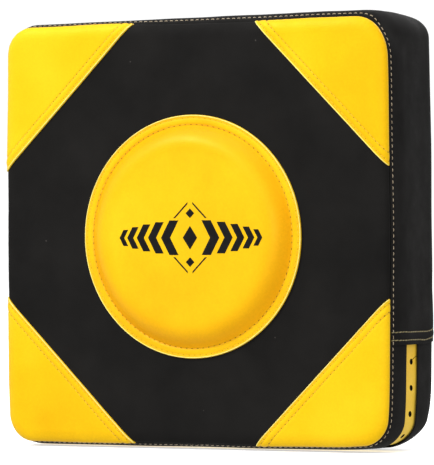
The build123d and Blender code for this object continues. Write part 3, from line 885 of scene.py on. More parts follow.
profile = target_profile()
angles = np.arange(720) * TAU / 720
angle_grid = np.broadcast_to(angles[None, :], (len(profile), 720))
radius_grid = np.broadcast_to(profile[:, :1], angle_grid.shape)
depth_grid = np.broadcast_to(profile[:, 1:], angle_grid.shape)
target_points = target_surface(angle_grid, radius_grid, depth_grid)
normals = grid_normals(target_points, True)
normals = np.where(normals[..., 1:2] > 0.6, -normals, normals)
thickness = np.where(profile[:, 0] > target_radius - 11, 0.9, 1.7)[:, None, None]
inner = target_points - normals * thickness
inner[..., 1] = np.minimum(inner[..., 1], face_y - 0.12 + 0 * inner[..., 1])
rows = len(profile)
count = rows * 720
outer_faces = quads(rows, 720, True)
rim = np.arange(720)
faces = outer_faces.tolist() + (outer_faces[:, ::-1] + count).tolist()
faces += np.stack([rim, np.roll(rim, -1), np.roll(rim, -1) + count, rim + count], -1).tolist()
faces.append([(rows - 1) * 720 + i for i in range(720)])
faces.append([(rows - 1) * 720 + count + i for i in range(720)][::-1])
cover = make("target_leather", np.concatenate([target_points.reshape(-1, 3), inner.reshape(-1, 3)]),
             faces, target_yellow_painted_shade, sharp=60)
put(cover, ["target_cover"])


def target_depth(x, z):
    """Depth of the target cover's flat top at a point near its middle."""
    radius = np.hypot(x, z - target_z)
    angle = np.arctan2(z - target_z, x)
    return target_surface(angle, radius, profile_depth(radius))[..., 1]


def profile_depth(radius):
    order = np.argsort(profile[:, 0])
    return np.interp(radius, profile[order, 0], profile[order, 1])


turn = np.linspace(0, TAU, 721)
towards_face = np.tile([0.0, -1.0, 0.0], (len(turn), 1))
target_pitch = 5.8
for name, inset, needle_radius in (("outer", 3.0, 0.62), ("inner", 8.9, 0.95)):
    radius = target_radius - inset
    path = target_surface(turn, radius + 0 * turn, profile_depth(radius) + 0 * turn)
    stitches = stitch_row(path, towards_face, target_pitch, 3.6, 0.7, lift=0.05)
    put(join(f"target_stitching_{name}", [stitches], yellow_thread))
    needle_holes = needle_dots(path, towards_face, target_pitch, needle_radius)
    put(join(f"target_needle_holes_{name}", [needle_holes], needle_hole_shade))

edge_radius = target_radius - 0.8
rim_y = np.interp(edge_radius, profile[::-1, 0], profile[::-1, 1])
path = target_surface(turn, edge_radius + 0 * turn, rim_y + 0 * turn)
# Painted highlight along the target flange's turned edge.
painted_highlight_edges.append(cord_line(path, towards_face, 0.5, 0.05))
put(join("painted_highlight_edges", painted_highlight_edges, painted_highlight_yellow))

foam_profile = [(0.0, face_y - 0.15), (wall_foot - 3.2, face_y - 0.15), (wall_foot - 2.9, face_y - 0.5)]
for share in np.linspace(0.02, 1, 18):
    foam_profile.append((wall_foot - 2.9 - wall_width * share,
                         face_y - 0.5 + (target_front_y + 3.2 - face_y) * wall_rise(share)))
foam_profile.append((60.0, target_front_y + 2.7))
foam_profile.append((20.0, target_front_y + 2.5))
foam_profile.append((0.0, target_front_y + 2.4))
foam_profile = np.array(foam_profile)
turn = np.arange(180) * TAU / 180
ring_points = np.stack([foam_profile[1:-1, :1] * np.cos(turn), foam_profile[1:-1, 1:] + 0 * turn,
                        target_z + foam_profile[1:-1, :1] * np.sin(turn)], -1)
disc = make("target_padding", ring_points, tube_faces(len(ring_points), 180, flipped=True), foam)
put(disc, ["target_foam"])


def printed_mark():
    """Plain geometric print: chevrons either side of a diamond, inside an open diamond line."""
    shapes = []

    def shape(*corners):
        shapes.append(np.array(corners, float))

    shape((0, 11), (7.5, 0), (0, -11), (-7.5, 0))
    for side in (-1, 1):
        for reach, tall, weight in ((12, 16.0, 9.5), (27.5, 14.5, 8.5), (41.5, 12.5, 7.5),
                                    (54, 10.0, 6.5), (65, 7.5, 5.0)):
            lean = tall * 0.55
            shape((side * reach, tall), (side * (reach + weight), tall), (side * (reach + weight + lean), 0),
                  (side * (reach + lean), 0))
            shape((side * reach, -tall), (side * (reach + lean), 0), (side * (reach + weight + lean), 0),
                  (side * (reach + weight), -tall))
        for up in (-1, 1):
            shape((side * 2.5, up * 33), (side * 2.5, up * 31), (side * 15.5, up * 18),
                  (side * 17.5, up * 18))
            shape((0, up * 27), (side * 4.5, up * 22.5), (0, up * 18))
    parts = []
    for corners in shapes:
        x, z = corners[:, 0] + 5.5, corners[:, 1] + target_z - 1
        y = target_depth(x, z) - 0.09
        parts.append((np.stack([x, y, z], -1), [list(range(len(corners)))]))
    return join("printed_mark", parts, ink)


put(printed_mark())


# ---- gusset ---------------------------------------------------------------------------------
def groove(values, at, depth, width=0.8):
    return -depth * np.exp(-((values - at) / width) ** 2)


seam_start_y = gusset_front_y + 0.6
seam_end_y = gusset_back_y + 0.2
topstitch_y = seam_start_y + 3.9
hem_s = arc_at_height(hem_z)
low_row, high_row = 4.4, 11.8
hem_edges = np.array([0, 0.12, 0.35, 0.7, 1.2, 1.9, 2.8, 3.6, 4.0, 4.4, 4.8, 5.4, 6.6, 8, 9.4, 10.8, 11.3,
                      11.8, 12.3, 13, 14, 15.5, 17, 19, 22, 25, 29, 34, 40, 47, 55, 64, 72])


def hem_rise(y):
    """The hem's edge wanders a little and rises towards the back."""
    along = (y - gusset_front_y) / (gusset_back_y - gusset_front_y)
    return 1.6 * np.maximum(along - 0.55, 0) ** 1.5 * 3.2 + 0.35 * ripple(y, 0 * y, 38, 41) - 0.1


def hem_proud(e):
    """How far the upper gusset stands out at distance e above its hem's edge."""
    step = 1.9 * (1 - smoothstep(e, 15.5, 70.0))
    turned = 0.9 * (1 - np.sqrt(np.maximum(1 - (1 - np.minimum(e / 0.8, 1)) ** 2, 0)))
    soft = 0.45 * np.exp(-((e - 8.1) / 2.4) ** 2)
    return step - turned + soft + groove(e, low_row, 0.4) + groove(e, high_row, 0.4)


def near_seam(y):
    """Share of the hem's thickness that shows at a depth: the front seam presses it flat."""
    return smoothstep(y, seam_start_y + 1.0, seam_start_y + 13.0)


along_y = np.concatenate([np.linspace(seam_start_y, topstitch_y - 1.5, 5),
                          topstitch_y + np.array([-0.8, 0, 0.8]),
                          np.linspace(topstitch_y + 2, seam_end_y - 3, 34),
                          np.linspace(seam_end_y - 2.2, seam_end_y, 5)])
tucked_y = np.concatenate([seam_start_y - np.array([0.3, 0.35, 0.1]), along_y,
                           seam_end_y + np.array([0.1, 0.35, 0.3])])
tuck = np.concatenate([[2.7, 1.2, 0.35], 0 * along_y, [0.35, 1.2, 2.7]])
near_stitch = groove(tucked_y, topstitch_y - 0.6, 0.5, 1.3)
middle_s = np.linspace(hem_s + 74, LENGTH - hem_s - 74, 600)
shift = hem_rise(np.clip(tucked_y, seam_start_y, seam_end_y))[:, None]
lower_s = hem_s + hem_edges[None, :] + shift * (1 - smoothstep(hem_edges, 12, 26))[None, :]
proud = hem_proud(hem_edges)[None, :] * near_seam(tucked_y)[:, None] - tuck[:, None] + near_stitch[:, None]
middle_rows = np.broadcast_to(middle_s, (len(tucked_y), len(middle_s)))
s_grid = np.concatenate([lower_s, middle_rows, (LENGTH - lower_s)[:, ::-1]], 1)
flat_part = np.broadcast_to((-tuck + near_stitch)[:, None], (len(tucked_y), len(middle_s)))
proud_grid = np.concatenate([proud, flat_part, proud[:, ::-1]], 1)
y_grid = np.broadcast_to(tucked_y[:, None], s_grid.shape)
upper = side_surface(s_grid, y_grid, proud_grid)
put(sheet("gusset_upper", upper, 1.6, black), ["upper_gusset"])

low_s = arc_at_height(lower_top)
under_s = np.linspace(-low_s, low_s, 560)
fold = np.array([0.0, 0.1, 0.3, 0.7])


def lower_strip(name, node, ys, tucks, stitch_at):
    depth = groove(ys, stitch_at - 0.6, 0.5, 1.3) if stitch_at is not None else 0 * ys
    s_all = np.broadcast_to(under_s, (len(ys), len(under_s)))
    y_all = np.broadcast_to(ys[:, None], s_all.shape)
    points = side_surface(s_all, y_all, (depth - tucks)[:, None] + 0 * s_all)
    put(sheet(name, points, 1.5, black), [node])


turn_in = 0.9 * (1 - np.sqrt(1 - (1 - fold / 0.7) ** 2))
front_ys = np.concatenate([seam_start_y - np.array([0.3, 0.35, 0.1]),
                           np.linspace(seam_start_y, topstitch_y - 1.5, 5),
                           topstitch_y + np.array([-0.8, 0, 0.8]),
                           np.linspace(topstitch_y + 2, vent_front_y - 1.2, 12), vent_front_y - fold[::-1]])
front_tucks = np.concatenate([[2.7, 1.2, 0.35], np.zeros(5 + 3 + 12), turn_in[::-1]])
lower_strip("gusset_lower_front", "lower_gusset_front", front_ys, front_tucks, topstitch_y)
rear_ys = np.concatenate([vent_back_y + fold, np.linspace(vent_back_y + 1.2, seam_end_y - 3, 12),
                          np.linspace(seam_end_y - 2.2, seam_end_y, 5),
                          seam_end_y + np.array([0.1, 0.35, 0.3])])
rear_tucks = np.concatenate([turn_in, np.zeros(12 + 5), [0.35, 1.2, 2.7]])
lower_strip("gusset_lower_rear", "lower_gusset_rear", rear_ys, rear_tucks, None)


def boolean_cut(obj, cutter):
    """Cut one mesh with another, worked out in millimetres because the cuts are small."""
    for one in (obj, cutter):
        one.data.transform(Matrix.Scale(1 / MM, 4))
    modifier = obj.modifiers.new("cut", "BOOLEAN")
    modifier.operation = "DIFFERENCE"
    modifier.solver = "EXACT"
    modifier.use_self = True
    modifier.material_mode = "TRANSFER"
    modifier.object = cutter
    bpy.context.view_layer.update()
    graph = bpy.context.evaluated_depsgraph_get()
    mesh = bpy.data.meshes.new_from_object(obj.evaluated_get(graph))
    obj.modifiers.remove(modifier)
    mesh.transform(Matrix.Scale(MM, 4))
    obj.data = mesh
    bpy.data.objects.remove(cutter)
    mesh.polygons.foreach_set("use_smooth", [True] * len(mesh.polygons))
    mesh.set_sharp_from_angle(angle=math.radians(38))


hole_heights = (81.7, 57.7, 33.7)
hole_pitch, hole_setback = 24.0, 2.8
hole_half_width, hole_half_height = 2.7, 3.3


def vent():
    """Recessed strip with its row of breathing holes and one small slit."""
    ys = np.linspace(vent_low[1] + 0.3, vent_high[1] - 0.3, 26)
    s = np.linspace(-low_s + 0.4, low_s - 0.4, 520)
    s_all, y_all = np.meshgrid(s, ys)
    sag = 0.25 * ripple(s_all, y_all * 2, 30, 51)
    points = side_surface(s_all, y_all, -2.35 + sag)
    # The band's colour is partly its own tan and partly painted light.
    obj = sheet("vent_band", points, 1.1, vent_tan_painted_light)
    hole_y = (vent_front_y + vent_back_y) / 2 + hole_setback
    places = []
    for z in hole_heights:
        places += [arc_at_height(z), -arc_at_height(z)]
    corner = half_width - bottom_radius + bottom_radius * math.pi / 4
    places += [corner, -corner]
    places += [hole_pitch * i for i in range(-7, 8)]
    parts = []
    for number, s_hole in enumerate(places):
        s_one, y_one = np.array([s_hole]), np.array([hole_y])
        at = side_surface(s_one, y_one, -2.0)[0]
        out = side_normals(s_one, y_one)[0]
        side = unit(np.cross(out, [0, 1, 0]))
        deep = unit(np.cross(side, out))
        lean = 0.35 if number % 2 == 0 else -0.35
        ring = np.arange(20) * TAU / 20
        a, b = hole_half_width * np.cos(ring), hole_half_height * np.sin(ring)
        flat = side * (a * math.cos(lean) - b * math.sin(lean))[:, None] \
            + deep * (a * math.sin(lean) + b * math.cos(lean))[:, None]
        stack = np.stack([at + flat - out * 3, at + flat + out * 3])
        parts.append((stack.reshape(-1, 3), tube_faces(2, len(ring))))
    first = arc_at_height(hole_heights[0])
    start = side_surface(np.array([first + 1.5]), np.array([hole_y + 1.2]), -2.0)[0]
    end = side_surface(np.array([first + 5.0]), np.array([vent_back_y + 1.5]), -2.0)[0]
    out = side_normals(np.array([first]), np.array([hole_y]))[0]
    wide = unit(np.cross(out, unit(end - start))) * 0.35
    block = [p + w + o for o in (-out * 3, out * 3) for p, w in ((start, wide), (end, wide), (end, -wide),
                                                                 (start, -wide))]
    parts.append((block, tube_faces(2, 4)))
    boolean_cut(obj, join("cutter", parts, ink))
    return obj


put(vent(), ["vent_strip"])


def side_path(s, y, proud):
    return side_surface(s, y, proud), side_normals(s, y)


whole = np.linspace(0, LENGTH, 1400)
hem_bulge = np.where((whole < LENGTH - hem_s) & (whole > hem_s), hem_proud(np.minimum(
    np.minimum(np.abs(whole - hem_s), np.abs(LENGTH - hem_s - whole)), 72)), 0.0)
points, normals = side_path(whole, topstitch_y + 0 * whole, hem_bulge * near_seam(topstitch_y) - 0.34)
put(join("seam_topstitching", [stitch_row(points, normals, 5.4, 3.6, 0.95, seed=4, slant=0.12)], tan_thread))
for side_name, side in (("left", -1), ("right", 1)):
    rows = []
    for number, up in enumerate((low_row, high_row)):
        y = np.linspace(seam_start_y + 1.0, seam_end_y - 0.8, 160)
        wobble = 0.4 * ripple(y, 0 * y, 26, 60 + number + side)
        s = hem_s + up + hem_rise(y) + wobble
        proud_here = hem_proud(np.array([up]))[0] * near_seam(y) + 0.05
        points, normals = side_path(side * s, y, proud_here)
        rows.append(stitch_row(points, normals, 4.6, 4.45, 1.1, seed=7 + number, slant=0.2))
    put(join(f"hem_stitching_{side_name}", rows, hem_thread))


# ---- filling --------------------------------------------------------------------------------
def filling(name, node, sections, material):
    """Closed block inside the cover from sections of depth, extra inset and fixed inset."""
    s = np.arange(400) * LENGTH / 400
    x, z, normal_x, normal_z = outline_at(s)
    rings = []
    for y, extra, roll in sections:
        surface = side_surface(s, np.full(400, float(np.clip(y, seam_start_y, seam_end_y))))
        inset = (x - surface[:, 0]) * normal_x + (z - surface[:, 2]) * normal_z
        inset = np.maximum(inset, 0.4) + extra
        if roll is not None:
            inset = np.maximum(inset, (seam_inset(s) if y < -20 else back_inset(s) + top_fall(s)) + roll)
        rings.append(np.stack([x - normal_x * inset, y + 0 * x, z - normal_z * inset], -1))
    rings = np.array(rings)
    block = make(name, rings, tube_faces(len(rings), 400, flipped=True), material)
    return put(block, [node])


foam_low, foam_high = box("front_foam")
core_low, core_high = box("core_foam")
board_low, board_high = box("backing_board")
rear_low, rear_high = box("rear_foam")
filling("padding_front", "front_foam",
        [(foam_low[1] + 0.6, 4.2, 17.0), (foam_low[1] + 1.2, 4.2, 12.0), (foam_low[1] + 3.0, 4.2, 8.0),
         (foam_low[1] + 5.0, 4.2, 6.5), (foam_low[1] + 9.0, 4.2, 4.5), (foam_high[1] - 1.0, 4.1, None),
         (foam_high[1] - 0.05, 5.0, None)], foam)
filling("padding_core", "core_foam",
        [(core_low[1] + 0.05, 5.0, None), (core_low[1] + 1.0, 4.2, None), (core_high[1] - 25, 4.2, None),
         (core_high[1] - 10, 4.2, None), (core_high[1] - 1, 4.2, None), (core_high[1] - 0.05, 5.0, None)],
        foam)
filling("stiff_board", "backing_board",
        [(board_low[1] + 0.02, 5.2, None), (board_low[1] + 0.5, 4.7, None), (board_high[1] - 0.5, 4.7, None),
         (board_high[1] - 0.02, 5.2, None)], board)
filling("padding_rear", "rear_foam",
        [(rear_low[1] + 0.05, 5.2, None), (rear_low[1] + 1.0, 4.4, None), (rear_high[1] - 5.0, 4.4, 5.2),
         (rear_high[1] - 2.9, 4.4, 8.0), (rear_high[1] - 2.4, 4.4, 12.0)], foam)

# ---- back -----------------------------------------------------------------------------------
zip_low, zip_high = box("zipper_tape_upper")
zip_z = (box("zipper_tape_lower")[1][2] + zip_low[2]) / 2
slot_half, slot_reach = 6.0, zip_high[0]


def back_ring():
    """The back cover's edge, rolling from its seam to the flat panel."""
    columns = 720
    s = np.arange(columns) * LENGTH / columns
    x, z, normal_x, normal_z = outline_at(s)
    inset = back_inset(s) + top_fall(s)
    seam_y = seam_end_y + 0.9
    rows = [(2.6, seam_y - 0.35), (1.0, seam_y - 0.4), (0.3, seam_y - 0.1)]
    width = 8.5
    for angle in np.linspace(0, math.pi / 2, 10):
        rows.append((width * (1 - math.cos(angle)), seam_y + 0.3 + (back_y - seam_y - 0.3) * math.sin(angle)))
    rows.append((width + 3, back_y))
    rings = []
    pinch = 0.5 * ripple(s, 0 * s, 13, 71) + 0.5 * ripple(s, 0 * s, 40, 72)
    for number, (more, y) in enumerate(rows):
        total = inset + more
        soft = 0.16 * pinch * (2 < number < 11) * math.exp(-more / 5)
        rings.append(np.stack([x - normal_x * total, y - abs(soft), z - normal_z * total], -1))
    return np.array(rings)


def back_cover(name, node, upper):
    rings = back_ring()
    rows, columns = rings.shape[:2]
    work = bmesh.new()
    verts = [work.verts.new(p) for p in rings.reshape(-1, 3)]
    for face in quads(rows, columns, True):
        work.faces.new([verts[i] for i in face])
    work.faces.new(verts[(rows - 1) * columns:])
    level = zip_z + (0.3 if upper else -0.3)

    def cut(where, normal, clear=False):
        bmesh.ops.bisect_plane(work, geom=work.verts[:] + work.edges[:] + work.faces[:], dist=0.01,
                               plane_co=where, plane_no=normal, clear_inner=clear)

    cut((0, 0, level), (0, 0, 1 if upper else -1), True)
    edge = zip_z + (slot_half if upper else -slot_half)
    cut((0, 0, edge), (0, 0, 1))
    for x in (-slot_reach, slot_reach):
        cut((x, 0, 0), (1, 0, 0))
    doomed = []
    for face in work.faces:
        c = face.calc_center_median()
        if abs(c.x) < slot_reach and abs(c.z - zip_z) < slot_half and c.y > back_y - 1:
            doomed.append(face)
    bmesh.ops.delete(work, geom=doomed, context="FACES")
    points, normals, polygons, rim = read_shell(work, 0.01, 1)
    closed = closed_shell(polygons, rim, len(points))
    inside = points - normals * 1.6
    parts = [(np.concatenate([points, inside]), closed)]
    sign = 1 if upper else -1
    ring = np.arange(14) * TAU / 14
    centre_z = zip_z + sign * (slot_half + 0.45)
    xs = np.linspace(-slot_reach + 0.5, slot_reach - 0.5, 160)
    wander = 0.12 * ripple(xs, 0 * xs, 24, 80 + sign)
    roll = np.stack([xs[:, None] + 0 * ring, back_y - 0.75 + 0.95 * np.sin(ring) + 0 * xs[:, None],
                     centre_z + wander[:, None] + 0.95 * np.cos(ring)[None, :]], -1)
    parts.append((roll, tube_faces(len(xs), 14, flipped=True)))
    obj = join(name, parts, black)
    return put(obj, [node])


back_cover("cover_back_upper", "back_panel", True)
back_cover("cover_back_lower", "back_panel_lower", False)

out = np.array([0.0, 1.0, 0.0])


def flat_row(corners, y, pitch, length, width, seed=1, closed=False):
    """Row of stitches on a flat face that looks along +Y, through corners in X and Z."""
    corners = np.array(list(corners) + ([corners[0]] if closed else []), float)
    path = []
    for a, b in zip(corners[:-1], corners[1:]):
        steps = max(2, int(np.linalg.norm(b - a)))
        path.append(a + (b - a) * np.linspace(0, 1, steps)[:, None])
    path = np.concatenate(path)
    keep = np.concatenate([[True], np.linalg.norm(np.diff(path, axis=0), axis=1) > 1e-6])
    path = path[keep]
    points = np.stack([path[:, 0], np.full(len(path), y), path[:, 1]], -1)
    return stitch_row(points, np.tile(out, (len(points), 1)), pitch, length, width, seed)


slot_rows = []
for sign in (-1, 1):
    z = zip_z + sign * (slot_half + 3.4)
    slot_rows.append(flat_row([(-slot_reach - 3, z), (slot_reach + 3, z)], back_y + 0.02, 4.4, 3.3, 0.8, 5))
for sign in (-1, 1):
    x = sign * (slot_reach + 3)
    slot_rows.append(flat_row([(x, zip_z - slot_half - 3.4), (x, zip_z + slot_half + 3.4)],
                              back_y + 0.02, 4.4, 3.3, 0.8, 6))
put(join("zip_stitching", slot_rows, tan_thread))


def zip_teeth(name, node, upper):
    """Coil of one row: small loops that stand on the tape and reach for the other row."""
    low, high = box(node)
    pitch = 2.0
    count = int((high[0] - low[0]) / pitch)
    ring = np.arange(8) * TAU / 8
    parts = []
    stations = np.linspace(0, 1, 6)
    sign = 1 if upper else -1
    inner_z = low[2] if upper else high[2]
    width = high[2] - low[2]
    for k in range(count):
        x = low[0] + pitch * (k + 0.5) + (0.5 if upper else -0.5) * 0.9
        x = min(max(x, low[0] + 0.9), high[0] - 0.9)
        z = inner_z + sign * (width * stations)
        rise = (high[1] - low[1] - 1.0) * np.sqrt(np.maximum(1 - (stations * 0.9 - 0.1) ** 2, 0)) * 0.55
        y = low[1] + 0.5 + rise
        thick = 0.5 + 0.22 * np.exp(-(stations / 0.2) ** 2)
        tube = np.stack([x + np.cos(ring)[None, :] * thick[:, None] + 0 * stations[:, None],
                         y[:, None] + np.sin(ring)[None, :] * thick[:, None],
                         z[:, None] + 0 * ring[None, :]], -1)
        parts.append((tube, tube_faces(len(stations), len(ring))))
    cord_x = np.linspace(low[0] + 0.5, high[0] - 0.5, 100)
    cord = np.stack([cord_x[:, None] + 0 * ring, low[1] + 0.65 + 0.6 * np.sin(ring) + 0 * cord_x[:, None],
                     inner_z + sign * width * 0.68 + 0.55 * np.cos(ring) + 0 * cord_x[:, None]], -1)
    parts.append((cord, tube_faces(len(cord_x), len(ring))))
    return put(join(name, parts, coil_plastic), [node])


zip_teeth("zip_coil_row_upper", "zipper_coil_upper", True)
zip_teeth("zip_coil_row_lower", "zipper_coil_lower", False)


def finish_node(node, material, bevel=None, segments=3):
    """Keep a hard CAD node, with a better material and softened edges."""
    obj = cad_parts[node]
    obj.data.materials.clear()
    obj.data.materials.append(material)
    if bevel:
        modifier = obj.modifiers.new("edges", "BEVEL")
        modifier.width = bevel * MM
        modifier.segments = segments
        modifier.limit_method = "ANGLE"
        modifier.angle_limit = math.radians(35)
        modifier.harden_normals = False
    return obj


for node in ("zipper_tape_upper", "zipper_tape_lower"):
    finish_node(node, zip_tape, 0.2, 2)
finish_node("zipper_end_stops", coil_plastic, 0.5)
finish_node("zipper_slider", zip_metal, 0.22)
finish_node("zipper_pull", zip_metal, 0.22)
finish_node("grip_rivets", rivet_metal, 0.12, 2)


def rounded_corners(half_x, half_z, radius, per_corner=8):
    points = []
    for sx, sz, first in ((1, -1, -90), (1, 1, 0), (-1, 1, 90), (-1, -1, 180)):
        for degrees in np.linspace(first, first + 90, per_corner):
            angle = math.radians(degrees)
            points.append((sx * (half_x - radius) + radius * math.cos(angle),
                           sz * (half_z - radius) + radius * math.sin(angle)))
    return np.array(points)


def reinforcement(centre_x, centre_z, half_x, half_z):
    """One sewn-on patch with a turned, slightly puffed edge, and its stitch row."""
    rings = []
    for inset, rise in ((0.0, 0.0), (0.0, 0.55), (0.25, 0.9), (0.7, 1.12), (1.4, 1.2), (2.0, 1.02),
                        (2.5, 0.95), (3.0, 1.05), (3.8, 1.19)):
        corner = rounded_corners(half_x - inset, half_z - inset, max(5.0 - inset, 1.2))
        rings.append(np.stack([centre_x + corner[:, 0], np.full(len(corner), patch_y - 1.2 + rise),
                               centre_z + corner[:, 1]], -1))
    rings = np.array(rings)
    count = rings.shape[1]
    faces = quads(len(rings), count, True).tolist()
    faces.append([(len(rings) - 1) * count + i for i in range(count)])
    faces.append(list(range(count))[::-1])
    line = rounded_corners(half_x - 2.5, half_z - 2.5, 2.6, 5)
    line = [(centre_x + a, centre_z + b) for a, b in line]
    return (rings, faces), flat_row(line, patch_y - 0.22, 3.6, 2.7, 0.7, 8, closed=True)


patches = []
anchors = {}
for side in (-1, 1):
    base_low, base_high = box("strap_base_left" if side < 0 else "strap_base_right")
    anchor_low, anchor_high = box("strap_anchor_left" if side < 0 else "strap_anchor_right")
    web_low, web_high = box("grip_webbing_left" if side < 0 else "grip_webbing_right")
    inner_x = base_low[0] if side > 0 else base_high[0]
    outer_x = anchor_high[0] if side > 0 else anchor_low[0]
    strap_z = (base_low[2] + base_high[2]) / 2
    grip_z = (web_low[2] + web_high[2]) / 2
    anchors[side] = (inner_x, outer_x, strap_z, base_low, base_high)
    for x in (inner_x + side * 11, outer_x - side * 11):
        patches.append(reinforcement(x, strap_z, 16.0, 37.0))
    for x in ((web_low[0] if side > 0 else web_high[0]) + side * 11,
              (web_high[0] if side > 0 else web_low[0]) - side * 11):
        patches.append(reinforcement(x, grip_z, 16.0, 17.5))
put(join("sewn_patches", [p for p, _ in patches], black), ["reinforcement_patches"])
put(join("sewn_patch_stitching", [q for _, q in patches], tan_thread))


# ---- straps ---------------------------------------------------------------------------------
def fillet_path(corners, radii, step=1.0):
    """Points along straight runs joined by arcs, in two dimensions."""
    corners = [np.array(c, float) for c in corners]
    path = [corners[0]]
    for before, corner, after, radius in zip(corners[:-2], corners[1:-1], corners[2:], radii):
        a, b = unit(before - corner), unit(after - corner)
        angle = math.acos(float(np.clip(np.dot(a, b), -1, 1)))
        reach = radius / math.tan(angle / 2)
        centre = corner + unit(a + b) * radius / math.sin(angle / 2)
        start, end = corner + a * reach, corner + b * reach
        first, last = start - centre, end - centre
        sweep = math.pi - angle
        for share in np.linspace(0, 1, max(6, int(radius * sweep / 0.8))):
            mixed = (math.sin((1 - share) * sweep) * first + math.sin(share * sweep) * last) / math.sin(sweep)
            path.append(centre + mixed)
    path.append(corners[-1])
    path = np.array(path)
    steps = np.linalg.norm(np.diff(path, axis=0), axis=1)
    arc = np.concatenate([[0], np.cumsum(steps)])
    extra = np.arange(0, arc[-1], step)
    places = np.unique(np.round(np.concatenate([arc, extra]), 3))
    keep = np.concatenate([[True], np.diff(places) > 0.25])
    places = places[keep]
    places[-1] = arc[-1]
    return np.stack([np.interp(places, arc, path[:, i]) for i in (0, 1)], -1)


def band(path, section, middle_height, end_round=0.0):
    """Sweep a section of (across, thickness) points along a path in X and Y, Z across."""
    heading = unit(np.gradient(path, axis=0))
    normal = np.stack([-heading[:, 1], heading[:, 0]], -1)
    arc = np.concatenate([[0], np.cumsum(np.linalg.norm(np.diff(path, axis=0), axis=1))])
    to_end = np.minimum(arc, arc[-1] - arc)
    squeeze = np.ones(len(path))
    if end_round:
        squeeze = np.sqrt(np.maximum(1 - (1 - np.minimum(to_end / end_round, 1)) ** 2, 0.12))
    rings = []
    for k in range(len(path)):
        across, thick = section[:, 0], section[:, 1] * squeeze[k]
        at = path[k][None, :] + normal[k][None, :] * thick[:, None]
        rings.append(np.stack([at[:, 0], at[:, 1], middle_height + across], -1))
    rings = np.array(rings)
    return rings, tube_faces(*rings.shape[:2])


def strap_section(width, thickness):
    """Closed section: bound edges, a stitched dip inside each and a soft middle."""
    half, bound, edge = width / 2, 7.0, 0.86
    places = [0, 0.25, 0.7, 1.4, 2.4, 3.6, 4.4, 4.9, 5.4, 6.2, bound, bound + 0.7, bound + 2.5, bound + 6]
    heights = [0.15, 0.55, 0.82, 0.96, 1.0, 0.97, 0.86, 0.8, 0.86, 0.94, 0.92, 0.80, 0.90, 1.0]
    top = [(-half + p, h * thickness / 2 * (edge if p > bound else 1)) for p, h in zip(places, heights)]
    middle_part = [(x, thickness / 2 * edge)
                   for x in np.linspace(-half + bound + 12, half - bound - 12, 6)]
    top = top + middle_part + [(-x, t) for x, t in reversed(top)]
    bottom = [(x, -t) for x, t in reversed(top)]
    return np.array(top + bottom)


def strap_rows(path, thickness, offsets, z, seeds=3, inset_ends=3.0):
    """Stitch rows along both faces of a strap."""
    heading = unit(np.gradient(path, axis=0))
    normal = np.stack([-heading[:, 1], heading[:, 0]], -1)
    arc = np.concatenate([[0], np.cumsum(np.linalg.norm(np.diff(path, axis=0), axis=1))])
    keep = (arc > inset_ends) & (arc < arc[-1] - inset_ends)
    rows = []
    for face in (-1, 1):
        for across in offsets:
            at = path[keep] + normal[keep] * face * thickness / 2 * 0.84
            points = np.stack([at[:, 0], at[:, 1], np.full(keep.sum(), z + across)], -1)
            normals = np.stack([normal[keep][:, 0] * face, normal[keep][:, 1] * face,
                                np.zeros(keep.sum())], -1)
            rows.append(stitch_row(points, normals, 4.0, 3.0, 0.75, seeds))
    return rows


